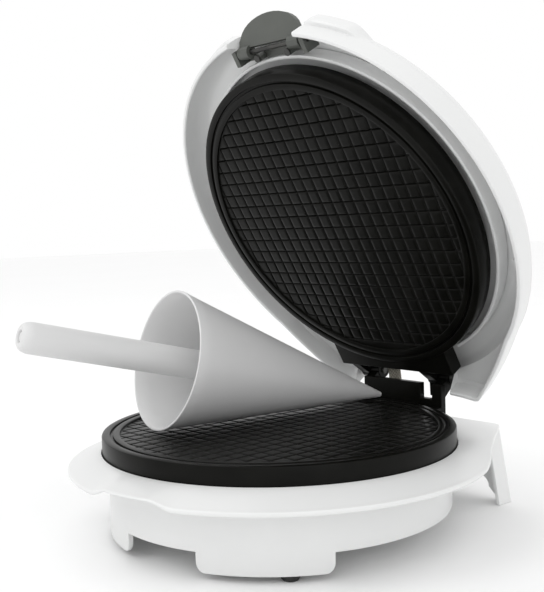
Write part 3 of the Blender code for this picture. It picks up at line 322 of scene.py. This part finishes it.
def baseHousing():
    # a turned shell: a sloping flange with a rolled rim, a skirt below it that reaches down
    # in rounded blocks, and a flat shelf inside; the flange widens to the deck at the back
    s = baseShape
    middles = np.radians(s["blockMiddles"])
    half, rounding = math.radians(s["blockHalf"]), s["blockRound"] / s["skirtRadius"]
    steps = np.concatenate([[-0.0006, 0.0], rounding * (1 - np.cos(np.linspace(0.2, np.pi / 2, 9)))])
    edges = np.concatenate([m + side * (half - steps) for m in middles for side in (-1, 1)])
    angles = shellAngles(288, edges)
    degrees = np.degrees(angles)
    # how far the skirt reaches down: a quarter circle at each lower corner of a foot block
    inward = np.max([half - np.abs(angles - m) for m in middles], axis=0) * s["skirtRadius"]
    fall = np.clip(s["blockRound"] - inward, 0, s["blockRound"])
    bottom = s["blockBottom"] - s["blockRound"] + np.sqrt(s["blockRound"] ** 2 - fall ** 2)
    bottom = -np.where(inward < -1e-5, s["skirtBottom"], bottom)
    toDeck = smoothStep(np.abs(degrees), s["deckFrom"], s["deckTo"])
    lip = smoothStep(degrees, *s["lipFrom"]) * (1 - smoothStep(degrees, *s["lipTo"]))
    drop = s["drop"] + (s["deckDrop"] - s["drop"]) * toDeck + (s["lipDrop"] - s["drop"]) * lip
    rim = s["rimHeight"] + (s["lipHeight"] - s["rimHeight"]) * lip
    plain = s["flangeRadius"] + (s["deckRadius"] - s["flangeRadius"]) * toDeck
    atBack = np.abs(degrees) > s["deckFrom"]
    outer = np.where(atBack, np.maximum(plain, shellOutline(angles, s["deckRadius"])), plain)
    well, roll, wall, skirt = s["wellRadius"], s["rimRoll"], s["wall"], s["skirtRadius"]

    def slope(radius):
        # the flange falls evenly from the well's edge to its rim
        return -0.0003 - drop * np.minimum((radius - well) / (s["flangeRadius"] - well), 1)

    start, span = well + s["wellRound"], outer - roll - well - s["wellRound"]
    profile = [(well, -0.0030), (well, -0.0010), (well + 0.0002, -0.0005), (start, slope(start))]
    for t in (0.15, 0.35, 0.55, 0.75, 0.9, 1.0):
        profile.append((start + span * t, slope(start + span * t)))
    top = slope(outer - roll)
    small = np.minimum(roll, rim * 0.48)
    for turn in (0.4, 0.8, 1.2, np.pi / 2):
        profile.append((outer - roll + roll * math.sin(turn), top - small + small * math.cos(turn)))
    for turn in (0.0, 0.5, 1.0, np.pi / 2):
        profile.append((outer - roll + roll * math.cos(turn), top - rim + small - small * math.sin(turn)))
    profile += [(outer - wall, top - rim + 0.0001), (outer - wall - 0.0012, top - rim + 0.0012)]
    under, fillet = -s["underFlange"], s["skirtFillet"]
    profile += [(skirt + fillet, under), (skirt + 0.0012, under - 0.0009), (skirt, under - fillet)]
    profile += [(skirt, -0.018), (skirt, -0.026), (skirt, bottom + 0.0007)]
    profile += [(skirt - 0.0002, bottom + 0.0002), (skirt - 0.0007, bottom)]
    inner, hole = skirt - wall, s["shelfHole"]
    profile += [(inner + 0.0005, bottom), (inner, bottom + 0.0005), (inner, -s["shelfBottom"] - 0.0002),
                (hole, -s["shelfBottom"]), (hole, -s["shelfTop"]), (inner, -s["shelfTop"]),
                (inner, -s["wellDepth"]), (well, -s["wellDepth"])]
    parts = [ringPart(profile, angles)]
    for middle in s["blockMiddles"]:
        at = math.radians(middle + math.copysign(s["footOffset"], middle))
        pad = math.radians(s["padHalf"])
        low, near = -s["blockBottom"] + 0.0002, skirt - s["padDepth"]
        high = low + s["padHeight"]
        loop = [(skirt - 0.001, low), (skirt - 0.001, high), (near, high), (near, low)]
        parts.append(ringPart(loop, np.linspace(at - pad, at + pad, 9), True, False))
    makePiece("base_housing", parts, onBase, whitePlastic, "base", ["base_shell"])


def rearLegs():
    # an arched rear panel with two slanted side walls
    s = baseShape
    top, low, spread = -s["legTop"], -s["floorDepth"], s["legSpread"] / s["floorDepth"]
    x, y, wall = s["cornerX"] - 0.0004, s["cornerY"] - 0.0006, s["wall"]

    def side(z, inset):
        # half the width at a height, moved in
        return x - inset - spread * (z - top)

    arch = [(side(low, 0), low), (side(top, 0), top)]
    arch += [(-px, pz) for px, pz in reversed(arch)]
    arch += [(-side(low, s["legWidth"]), low)]
    turn = np.linspace(0, np.pi / 2, 7)
    corner, archTop = s["archRound"], -s["skirtBottom"]
    edge = side(archTop, s["archInset"])
    left = [(-edge + corner * (1 - math.cos(t)), archTop - corner + corner * math.sin(t)) for t in turn]
    arch += left + [(-px, pz) for px, pz in reversed(left)] + [(side(low, s["legWidth"]), low)]
    parts = [extrudedPart(arch, y - s["panel"], y, 1)]
    for sign in (-1, 1):
        outline = [(sign * side(low, 0.0001), low), (sign * side(top, 0.0001), top),
                   (sign * side(top, wall), top), (sign * side(low, wall), low)]
        parts.append(extrudedPart(outline, s["cornerY"] - s["legDepth"], y - 0.0002, 1))
    makePiece("base_rear_legs", parts, onBase, whitePlastic, "base", ["base_shell"],
              bevel=0.0005)


baseHousing()
rearLegs()
print("base housing made")


# The two cast plates

plateShape = {
    "radius": 0.0950, "baked": 0.0855, "fieldDepth": 0.0012, "ringWidth": 0.0036, "channelWidth": 0.0016,
    "channelDepth": 0.0012, "pitch": 0.0080, "cutWidth": 0.0011, "cutDepth": 0.0009, "pillow": 0.00004,
    "soft": 0.0004, "bed": 0.0009, "shift": (0.0, 0.0),
    "lowerTop": 0.0088, "lowerBack": -0.0042, "upperFace": 0.0094, "upperBack": 0.0210,
}


def plateBody(face, back, way):
    # a turned slab: sunk field, raised sealing ring, channel, outer rim; way is +1 for a face that looks up
    s = plateShape
    baked, radius, soft = s["baked"], s["radius"], s["soft"]
    ring = baked + s["ringWidth"]
    channel = ring + s["channelWidth"]
    floor = face - way * (s["fieldDepth"] + s["cutDepth"] + s["bed"])
    deep = face - way * s["channelDepth"]
    eased, nearly = face - way * soft, face - way * soft * 0.3
    profile = [(0, floor), (baked, floor), (baked, eased), (baked + soft * 0.3, nearly),
               (baked + soft, face), (ring - soft, face), (ring - soft * 0.3, nearly), (ring, eased),
               (ring, deep + way * soft), (ring + soft * 0.4, deep), (channel - soft * 0.4, deep),
               (channel, deep + way * soft), (channel, eased), (channel + soft * 0.3, nearly),
               (channel + soft, face), (radius - 0.0009, face), (radius - 0.0003, face - way * 0.0003),
               (radius, face - way * 0.0009), (radius, back + way * 0.0010),
               (radius - 0.0003, back + way * 0.0003), (radius - 0.0010, back), (0, back)]
    return ringPart(profile, shellAngles(256), False)


def waffleField(face, way, shift):
    # height over a square grid drawn in to the disc: V cuts on the lines of two families,
    # with a slight pillow between them
    s = plateShape
    pitch, width = s["pitch"], s["cutWidth"]
    lines = np.arange(-11, 12) * pitch
    offsets = np.array([-0.5 * pitch, -0.28 * pitch, -width * 0.75, -width * 0.5, -width * 0.22, 0,
                        width * 0.22, width * 0.5, width * 0.75, 0.28 * pitch])
    columns = np.sort((lines[:, None] + offsets).ravel())
    xs, ys = columns + shift[0], columns + shift[1]
    x, y = np.meshgrid(xs, ys, indexing="ij")
    away = np.hypot(x, y)

    def cut(place, first):
        # 1 in the middle of a V cut, 0 beside it
        near = np.abs((place - first + pitch / 2) % pitch - pitch / 2)
        return np.clip(1.15 - near / (width / 2), 0, 1)

    fade = 1 - smoothStep(away, s["baked"] - 0.0012, s["baked"] - 0.0002)
    lift = s["pillow"] * np.cos((x - shift[0]) * 2 * np.pi / pitch + np.pi) * 0.5
    lift += s["pillow"] * np.cos((y - shift[1]) * 2 * np.pi / pitch + np.pi) * 0.5
    height = (lift - s["cutDepth"] * np.maximum(cut(x, shift[0]), cut(y, shift[1]))) * fade
    limit = s["baked"] + 0.0004
    pull = np.minimum(1, limit / np.maximum(away, 1e-9))
    level = face - way * s["fieldDepth"] + way * height
    points = np.stack([x * pull, y * pull, level], axis=-1).reshape(-1, 3)
    faces = gridFaces(len(xs), len(ys))
    inside = (away.ravel()[faces] < limit).any(axis=1)
    return points, faces[inside], face - way * (s["fieldDepth"] + s["cutDepth"] + 0.0006)


def closedField(points, faces, floor):
    # the same disc laid flat below, the two sewn along their rims
    form = bmesh.new()
    mesh = bpy.data.meshes.new("field")
    mesh.from_pydata(points.tolist(), [], faces.tolist())
    form.from_mesh(mesh)
    bmesh.ops.remove_doubles(form, verts=form.verts, dist=weldDistance)
    bmesh.ops.delete(form, geom=[v for v in form.verts if not v.link_faces], context="VERTS")
    rim = [e for e in form.edges if e.is_boundary]
    drawn = bmesh.ops.extrude_edge_only(form, edges=rim)["geom"]
    for corner in [g for g in drawn if isinstance(g, bmesh.types.BMVert)]:
        corner.co.z = floor
    bmesh.ops.holes_fill(form, edges=[e for e in form.edges if e.is_boundary], sides=0)
    form.verts.ensure_lookup_table()
    made = np.array([v.co for v in form.verts])
    loops = [[v.index for v in f.verts] for f in form.faces]
    form.free()
    bpy.data.meshes.remove(mesh)
    return made, loops


hingeShape = {
    "arms": ((-0.0392, -0.0320), (0.0150, 0.0222)), "lugs": ((-0.0312, -0.0240), (0.0230, 0.0302)),
    "reach": 0.1133, "rise": 0.0227, "knuckle": 0.0052,
    "webReach": 0.1022, "webThick": 0.0042, "webRise": 0.0195,
    "tabReach": 0.1010, "tabHalf": 0.0437, "narrow": 0.68, "gateGap": 0.0008, "gateDepth": 0.0090,
    "footStart": 0.0884, "footTop": 0.0060, "heelHalf": (0.0036, 0.0030), "heelReach": 0.0118,
}


def lowerPlate():
    # the turned plate, then an upright web with two lugs that carry the hinge eyes
    s, h = plateShape, hingeShape
    field = closedField(*waffleField(s["lowerTop"], 1, s["shift"]))
    plate = plateBody(s["lowerTop"], s["lowerBack"], 1)
    makePiece("lower_cast_plate", [plate, field], onBase, castPlate, "base", ["lower_plate"])
    left, right, rise = h["lugs"][0][0], h["lugs"][1][1], h["webRise"]
    start, end = h["arms"][1][0] - h["gateGap"], h["arms"][1][1] + h["gateGap"]
    narrow, floor = left * h["narrow"], rise - h["gateDepth"]
    web = [(left, rise), (left, rise - 0.0065), (narrow, 0.0055), (narrow, 0.0008), (right, 0.0008),
           (right, rise), (end, rise), (end, floor), (start, floor), (start, rise)]
    foot = blockPart((narrow, h["footStart"], 0.0009),
                     (right - 0.0001, h["webReach"] + 0.001, h["footTop"]))
    parts = [extrudedPart(web, h["webReach"], h["webReach"] + h["webThick"], 1), foot]
    for low, high in h["lugs"]:
        cheek = [(h["webReach"] + 0.001, rise - 0.011), (h["webReach"] + 0.001, rise - 0.0004),
                 (h["reach"] - 0.0004, h["rise"] + 0.003), (h["reach"] + 0.0031, h["rise"] - 0.003)]
        parts.append(extrudedPart(cheek, low + 0.0004, high - 0.0004, 0))
        parts.append(rodPart((low, h["reach"], h["rise"]), (high, h["reach"], h["rise"]), h["knuckle"]))
    makePiece("lower_hinge_web", parts, onBase, castPlate, "base", ["lower_plate"],
              bevel=0.0004)


def upperPlate():
    # the turned plate face down, then a tab with two arms that reach the hinge eyes
    s, h = plateShape, hingeShape
    field = closedField(*waffleField(s["upperFace"], -1, s["shift"]))
    plate = plateBody(s["upperFace"], s["upperBack"], -1)
    makePiece("upper_cast_plate", [plate, field], onLid, castPlate, "lid", ["upper_plate"])
    low, high = s["upperFace"] + 0.0010, s["upperBack"] - 0.0015
    parts = [blockPart((-h["tabHalf"], 0.0808, low), (h["tabHalf"], h["tabReach"], high))]
    for start, end in h["arms"]:
        arm = [(h["tabReach"] - 0.004, low + 0.0015), (h["tabReach"], low + 0.0015),
               (h["reach"] + 0.0031, h["rise"] - 0.0035), (h["reach"] - 0.0004, h["rise"] + 0.0045),
               (h["tabReach"] - 0.004, high - 0.0012)]
        parts.append(extrudedPart(arm, start + 0.0004, end - 0.0004, 0))
        parts.append(rodPart((start, h["reach"], h["rise"]), (end, h["reach"], h["rise"]), h["knuckle"]))
    # a heel under the right eye closes the gap in the web while the lid is up
    down = np.array([math.sin(lidOpen), -math.cos(lidOpen)])
    across = np.array([math.cos(lidOpen), math.sin(lidOpen)])
    eye = np.array([h["reach"], h["rise"]])
    wide, slim = (across * half for half in h["heelHalf"])
    fall = down * h["heelReach"]
    heel = [eye - wide, eye + wide, eye + slim + fall, eye - slim + fall]
    parts.append(extrudedPart(heel, h["arms"][1][0] + 0.0003, h["arms"][1][1] - 0.0003, 0))
    makePiece("upper_hinge_arms", parts, onLid, castPlate, "lid", ["upper_plate"],
              bevel=0.0004)


lowerPlate()
upperPlate()
print("plates made")


# The lid and the ring wall inside it

lidShape = {
    "rim": 0.1162, "rimZ": 0.0122, "top": 0.0328, "rise": 0.0206, "crown": 0.0030, "shoulder": 0.0090,
    "bow": 0.62, "wall": 0.0025, "ledge": 0.1186, "ledgeFlat": 0.1130, "ledgeAngle": 34.0,
    "ledgeTop": 0.0307, "ledgeLow": 0.0227, "ledgeFade": 0.0080, "hornTop": 0.0266,
    "slotX": (-0.021, 0.029), "slotY": 0.1050, "notchX": (-0.0426, 0.0336), "notchZ": 0.0295,
    "straight": 0.1130, "linerIn": 0.0975, "linerOut": 0.0995, "linerEdge": 0.0212, "linerTop": 0.0285,
    "linerLip": 0.008, "gateHalf": 0.0445, "ribTurns": (-62, 62, 108), "ribHalf": 0.0007,
    "ribHeights": (0.0262, 0.0312), "ribReach": (0.1040, 0.1105),
}


def domeRadius(z, inset=0.0):
    # radius of the rounded shoulder at a height, moved in by a wall
    s = lidShape
    bow = np.clip(1 - (s["top"] - inset - z) / (s["bow"] * s["rise"]), 0, 1)
    return s["rim"] - s["shoulder"] + (s["shoulder"] - inset) * np.sqrt(1 - bow ** 2)


def domeHeight(r, inset=0.0):
    # a shallow crown to the shoulder, then the shoulder's quarter oval
    s = lidShape
    flat = s["rim"] - s["shoulder"]
    bow = np.clip((r - flat) / (s["shoulder"] - inset), 0, 1)
    crown = s["crown"] * (1 - (r / flat) ** 2)
    return s["top"] - inset + np.where(r < flat, crown, -s["bow"] * s["rise"] * (1 - np.sqrt(1 - bow ** 2)))


def lidShell():
    # a turned dome and its inside a wall below, with a flat ledge and a slot at the front
    # and two corners and a notch at the back
    s = lidShape
    step = 0.00006
    slots = np.arcsin(np.array(s["slotX"]) / s["straight"])
    notches = np.arcsin(np.array(s["notchX"]) / s["straight"])
    notches = np.sign(notches) * np.pi - notches
    ledges = np.radians([-s["ledgeAngle"], s["ledgeAngle"]])
    jumps = np.concatenate([slots, notches])
    eased = np.radians(np.linspace(-5, 1.5, 12))
    angles = shellAngles(288, jumps - step, jumps + step, ledges[1] + eased, ledges[0] - eased)
    x = s["straight"] * np.sin(angles)
    inSlot = (angles > slots[0]) & (angles < slots[1])
    inNotch = (np.abs(angles) > np.pi / 2) & (x > s["notchX"][0]) & (x < s["notchX"][1])
    onLedge = np.abs(angles) < ledges[1] + math.radians(1.5)
    outline = np.maximum(shellOutline(angles, s["rim"] - 0.0008), s["rim"])
    outline = np.where(np.abs(angles) < 1.5, s["rim"], outline)
    front = s["ledgeFlat"] / np.cos(np.minimum(np.abs(angles), 1.2))
    ledge = np.where(onLedge, np.minimum(s["ledge"], front), 0)
    fadeFrom, fadeTo = ledges[1] - math.radians(5), ledges[1] + math.radians(1.5)
    ledge -= s["ledgeFade"] * smoothStep(np.abs(angles), fadeFrom, fadeTo)
    flat, wall, rimZ = s["rim"] - s["shoulder"], s["wall"], s["rimZ"]
    rows = (0, 0.15, 0.3, 0.45, 0.6, 0.75, 0.85, 0.93, 1.0)
    outer = [(flat * t, domeHeight(np.full(1, flat * t))[0]) for t in rows]
    for turn in np.radians([8, 16, 25]):
        height = s["top"] - s["bow"] * s["rise"] * (1 - math.cos(turn))
        outer.append((flat + s["shoulder"] * math.sin(turn), height))
    # the same five points make the ledge at the front, the corners at the back, and plain
    # shoulder elsewhere
    special = [(s["ledgeTop"], -0.0008, s["hornTop"] + 0.0024, -0.5),
               (s["ledgeTop"] - 0.0008, 0, s["hornTop"], -0.5),
               (0.5 * (s["ledgeTop"] + s["ledgeLow"]), 0, s["hornTop"], -0.0030),
               (s["ledgeLow"] + 0.0008, 0, s["hornTop"] - 0.0009, -0.0009),
               (s["ledgeLow"], -0.0008, s["hornTop"] - 0.0026, 0)]
    outer.append((domeRadius(s["ledgeTop"]), s["ledgeTop"]))
    for ledgeZ, ledgeIn, hornZ, hornIn in special:
        z = np.where(onLedge, ledgeZ, hornZ)
        r = np.where(onLedge, ledge + ledgeIn, outline + hornIn)
        outer.append((np.maximum(domeRadius(z), r), z))
    outer += [(np.maximum(domeRadius(0.0224), outline * ~onLedge), 0.0224), (outline, 0.0196),
              (outline, 0.0160), (outline, rimZ + 0.0009), (outline - 0.0003, rimZ + 0.0003),
              (outline - 0.0009, rimZ)]
    within = outline - wall
    inner = [(within + 0.0006, rimZ), (within, rimZ + 0.0006), (within, 0.0170), (within, 0.0222),
             (np.maximum(domeRadius(0.0241, wall), within - 0.0014), 0.0241),
             (domeRadius(0.0242, wall), 0.0242)]
    for turn in np.radians([55, 42, 28, 14]):
        height = s["top"] - wall - s["bow"] * s["rise"] * (1 - math.cos(turn))
        inner.append((flat + (s["shoulder"] - wall) * math.sin(turn), height))
    inner += [(flat * t, domeHeight(np.full(1, flat * t), wall)[0]) for t in reversed(rows)]
    count = len(angles)
    limit = np.sqrt(s["slotY"] ** 2 + x ** 2)
    profile = []
    for inset, side in ((0.0, outer), (wall, inner)):
        for r, z in side:
            r, z = np.broadcast_to(r, count), np.broadcast_to(z, count)
            past = inSlot & (r > limit)
            r, z = np.where(past, limit, r), np.where(past, domeHeight(limit, inset), z)
            cutOff = inNotch & (z < s["notchZ"])
            r = np.where(cutOff, domeRadius(s["notchZ"], inset), r)
            z = np.where(cutOff, s["notchZ"], z)
            profile.append((r, z))
    points, faces = ringPart(profile, angles, False)
    # near the slot and the notch the columns keep their x, so that the openings' sides are straight
    points = points.reshape(count, -1, 3)
    radius = np.hypot(points[..., 0], points[..., 1])
    keep = smoothStep(radius, 0.094, 0.103) * (1 - smoothStep(np.abs(np.sin(angles)), 0.45, 0.8))[:, None]
    straightX = x[:, None] + 0 * radius
    straightY = np.sign(points[..., 1]) * np.sqrt(np.maximum(radius ** 2 - straightX ** 2, 1e-8))
    points[..., 0] += keep * (straightX - points[..., 0])
    points[..., 1] += keep * (straightY - points[..., 1])
    parts = [(points.reshape(-1, 3), faces)]
    # short ribs stand across the channel between the lid's wall and the ring
    half, (low, high) = s["ribHalf"], s["ribHeights"]
    outline = [(-half, low), (half, low), (half, high), (-half, high)]
    ribPoints, ribFaces = extrudedPart(outline, *s["ribReach"], 1)
    for degrees in s["ribTurns"]:
        cosine, sine = math.cos(math.radians(degrees)), math.sin(math.radians(degrees))
        px, py, pz = ribPoints.T
        turned = np.stack([px * cosine + py * sine, px * sine - py * cosine, pz], axis=-1)
        parts.append((turned, ribFaces))
    makePiece("lid_cover", parts, onLid, whitePlastic, "lid", ["lid_shell"])


def lidRing():
    # a thin upright ring with a lip inward at its top, open at the back for the hinge tab
    s = lidShape
    gate = math.asin(s["gateHalf"] / s["linerIn"])
    angles = np.linspace(-np.pi + gate, np.pi - gate, 240)
    low, top, inside, outside = s["linerEdge"], s["linerTop"], s["linerIn"], s["linerOut"]
    lip = inside - s["linerLip"]
    profile = [(outside, low + 0.0007), (outside - 0.0002, low + 0.0002), (outside - 0.0006, low),
               (inside + 0.0005, low), (inside + 0.0001, low + 0.0002), (inside, low + 0.0006),
               (inside, top), (lip, top), (lip, top + 0.0015), (outside, top + 0.0015),
               (outside, 0.5 * (low + top))]
    makePiece("lid_ring_wall", [ringPart(profile, angles, True, False)], onLid, whitePlastic,
              "lid", ["lid_liner"])


lidShell()
lidRing()
print("lid made")


# The loose cone form

rollerShape = {
    "length": 0.1486, "halfAngle": 13.80, "tipRadius": 0.0016, "wall": 0.0016, "handleRadius": 0.0081,
    "handleLength": 0.0811, "turn": 10.15, "tip": (-0.0106, 0.0944), "seal": 0.0088,
}


def coneRoller():
    # a thin hollow cone standing on its side, and a round grip turned about the same line
    s = rollerShape
    half = math.radians(s["halfAngle"])
    slope, length = math.tan(half), s["length"]
    mouth, wall = s["tipRadius"] + length * slope, s["wall"] / math.cos(half)
    handle = s["handleRadius"]
    foot = handle * 0.55
    seat = (foot + 0.0006 + wall - s["tipRadius"]) / slope
    far = length + s["handleLength"]
    lean = Matrix.Translation((*s["tip"], s["seal"] + s["tipRadius"] / math.cos(half) + 0.0003))
    lean = lean @ Matrix.Rotation(-math.radians(s["turn"]), 4, "Z")
    lean = np.array(lean @ Matrix.Rotation(math.radians(90 - s["halfAngle"]), 4, "X"))

    def onRoller(points):
        # lays the upright form down on the plate
        return onBase(points @ lean[:3, :3].T + lean[:3, 3])

    rows = [0.0006, 0.003, 0.01, 0.03, 0.06, 0.09, 0.12, 0.14]
    cone = [(0, 0), (s["tipRadius"] * 0.6, 0)]
    cone += [(s["tipRadius"] + (t - 0.0006) * slope, t) for t in rows]
    cone += [(mouth - 0.0006 * slope, length - 0.0006), (mouth - 0.0002, length - 0.0001),
             (mouth - 0.0006, length + 0.0001), (mouth - wall + 0.0004, length),
             (mouth - wall, length - 0.0005)]
    cone += [(s["tipRadius"] + t * slope - wall, t) for t in (0.14, 0.12, 0.09, 0.06)]
    cone += [(foot + 0.0006, seat), (0, seat)]
    makePiece("rolling_cone", [ringPart(cone, shellAngles(160), False)], onRoller, rollerPlastic,
              "roller", ["roller_cone"])
    grip = [(0, far - 0.0025), (handle * 0.40, far - 0.0025), (handle * 0.42, far - 0.0006),
            (handle * 0.45, far - 0.0001)]
    for t in np.linspace(0.1, np.pi / 2, 9):
        grip.append((handle * (0.6 + 0.4 * math.sin(t)), far - 0.0062 * (1 - math.cos(t))))
    grip += [(handle, far - 0.02), (handle, far - 0.05), (handle, seat + 0.03), (handle * 0.8, seat + 0.02),
             (foot, seat + 0.01), (foot, seat + 0.0003), (0, seat + 0.0003)]
    makePiece("rolling_handle", [ringPart(grip, shellAngles(96), False)], onRoller, rollerPlastic,
              "roller", ["roller_handle"])


coneRoller()
print("roller made")


# The braided wire sleeve

sleeveShape = {
    "radius": 0.0030, "wide": 1.5, "lean": 0.0022, "x": -0.0135, "y": 0.1106, "around": 32, "along": 120,
    "deckZ": (-0.0190, 0.0080), "strands": 8, "ripple": 0.03,
}


def wireSleeve():
    # a tube carried along a Catmull-Rom line from the deck, past the hinge, into the open lid
    s = sleeveShape
    ceiling = lidShape["top"] - lidShape["wall"] - s["radius"]
    closed = np.array([[s["x"] - 0.0020, 0.1085, ceiling - 0.0030],
                       [s["x"] - 0.0045, 0.1025, ceiling - 0.0026]])
    start = onBase(np.array([[s["x"] + s["lean"], s["y"], z] for z in s["deckZ"]]))
    route = np.concatenate([start, onLid(closed)])
    ends = np.concatenate([route[:1], route, route[-1:]])
    t = np.linspace(0, len(route) - 1, s["along"])
    k = np.minimum(t.astype(int), len(route) - 2)
    u = (t - k)[:, None]
    a, b, c, d = ends[k], ends[k + 1], ends[k + 2], ends[k + 3]
    square, cube = 2 * a - 5 * b + 4 * c - d, 3 * b - a - 3 * c + d
    path = 0.5 * (2 * b + (c - a) * u + square * u ** 2 + cube * u ** 3)
    along = np.gradient(path, axis=0)
    along /= np.linalg.norm(along, axis=1)[:, None]
    side = np.cross(along, [0, 1.0, 0])
    side /= np.linalg.norm(side, axis=1)[:, None]
    up = np.cross(side, along)
    turn = np.linspace(0, 2 * np.pi, s["around"] + 1)
    weave = np.cos(turn * s["strands"])[None, :] * np.cos(np.arange(s["along"]) * 1.3)[:, None]
    ripple = s["radius"] * (1 - s["ripple"] + s["ripple"] * weave)
    outward = s["wide"] * np.cos(turn)[None, :, None] * side[:, None]
    outward = outward + np.sin(turn)[None, :, None] * up[:, None]
    points = path[:, None] + ripple[..., None] * outward
    length = np.concatenate([[0], np.cumsum(np.linalg.norm(np.diff(path, axis=0), axis=1))])
    around = len(turn)
    faces = gridFaces(s["along"], around)
    mesh = bpy.data.meshes.new("braided_sleeve")
    mesh.from_pydata(points.reshape(-1, 3).tolist(), [], faces.tolist())
    uv = mesh.uv_layers.new(name="braidMap")
    grid = points.shape[:2]
    flat = [np.broadcast_to(turn * s["radius"], grid), np.broadcast_to(length[:, None], grid)]
    flat = np.stack(flat, axis=-1).reshape(-1, 2)
    uv.data.foreach_set("uv", flat[faces.ravel()].astype(np.float32).ravel())
    form = bmesh.new()
    form.from_mesh(mesh)
    bmesh.ops.remove_doubles(form, verts=form.verts, dist=weldDistance / 2)
    bmesh.ops.holes_fill(form, edges=[e for e in form.edges if e.is_boundary], sides=0)
    bmesh.ops.recalc_face_normals(form, faces=form.faces)
    form.to_mesh(mesh)
    form.free()
    mesh.shade_smooth()
    mesh.materials.append(sleeveBraid)
    piece = bpy.data.objects.new("braided_sleeve", mesh)
    bpy.context.scene.collection.objects.link(piece)
    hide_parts("wire_sleeve")
    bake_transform(piece)


wireSleeve()
print("sleeve made")


# Camera, floor and light

viewShape = {"place": (0.38841, -0.34607, 0.16126), "yaw": 48.2, "down": 4.01, "roll": -1.72, "lens": 59.17}


studioShape = {
    "floorHalf": 6, "ambient": 1.0,
    "key": ((-0.6, -1.2, 1.6), (0, 0, 0.1), 1.2, 7), "fill": ((1.6, -0.8, 0.9), (0, 0, 0.12), 1.4, 2.5),
}


def addCamera():
    s = viewShape
    yaw, down, roll = (math.radians(s[key]) for key in ("yaw", "down", "roll"))
    ahead = Vector((-math.sin(yaw) * math.cos(down), math.cos(yaw) * math.cos(down), -math.sin(down)))
    right = Vector((math.cos(yaw), math.sin(yaw), 0))
    up = right.cross(ahead)
    across = right * math.cos(roll) + up * math.sin(roll)
    upright = -right * math.sin(roll) + up * math.cos(roll)
    lens = bpy.data.cameras.new("view")
    lens.lens = s["lens"]
    lens.sensor_width = 36
    lens.clip_start = 0.01
    camera = bpy.data.objects.new("view", lens)
    turned = Matrix((across, upright, -ahead)).transposed().to_4x4()
    camera.matrix_world = Matrix.Translation(s["place"]) @ turned
    bpy.context.scene.collection.objects.link(camera)
    bpy.context.scene.camera = camera


def addLamp(name, place, target, size, power):
    lamp = bpy.data.lights.new(name, "AREA")
    lamp.shape = "DISK"
    lamp.size = size
    lamp.energy = power
    holder = bpy.data.objects.new(name, lamp)
    holder.location = place
    holder.rotation_euler = (Vector(target) - Vector(place)).to_track_quat("-Z", "Y").to_euler()
    bpy.context.scene.collection.objects.link(holder)


def addStudio():
    s = studioShape
    half = s["floorHalf"]
    paper = grainFinish("paperFloor", (0.955, 0.955, 0.955), (0.965, 0.965, 0.965),
                        3, (0.6, 0.7), 200, 0.00005)
    floor = bpy.data.meshes.new("floor")
    corners = [(-half, -half, 0), (half, -half, 0), (half, half, 0), (-half, half, 0)]
    floor.from_pydata(corners, [], [(0, 1, 2, 3)])
    floor.materials.append(paper)
    sheet = bpy.data.objects.new("floor", floor)
    bpy.context.scene.collection.objects.link(sheet)
    world = bpy.data.worlds.new("studio")
    world.use_nodes = True
    world.node_tree.nodes["Background"].inputs["Color"].default_value = (1, 1, 1, 1)
    world.node_tree.nodes["Background"].inputs["Strength"].default_value = s["ambient"]
    bpy.context.scene.world = world
    addLamp("key", *s["key"])
    addLamp("fill", *s["fill"])


addCamera()
addStudio()
bpy.context.scene.view_settings.view_transform = "Standard"
bpy.context.view_layer.update()
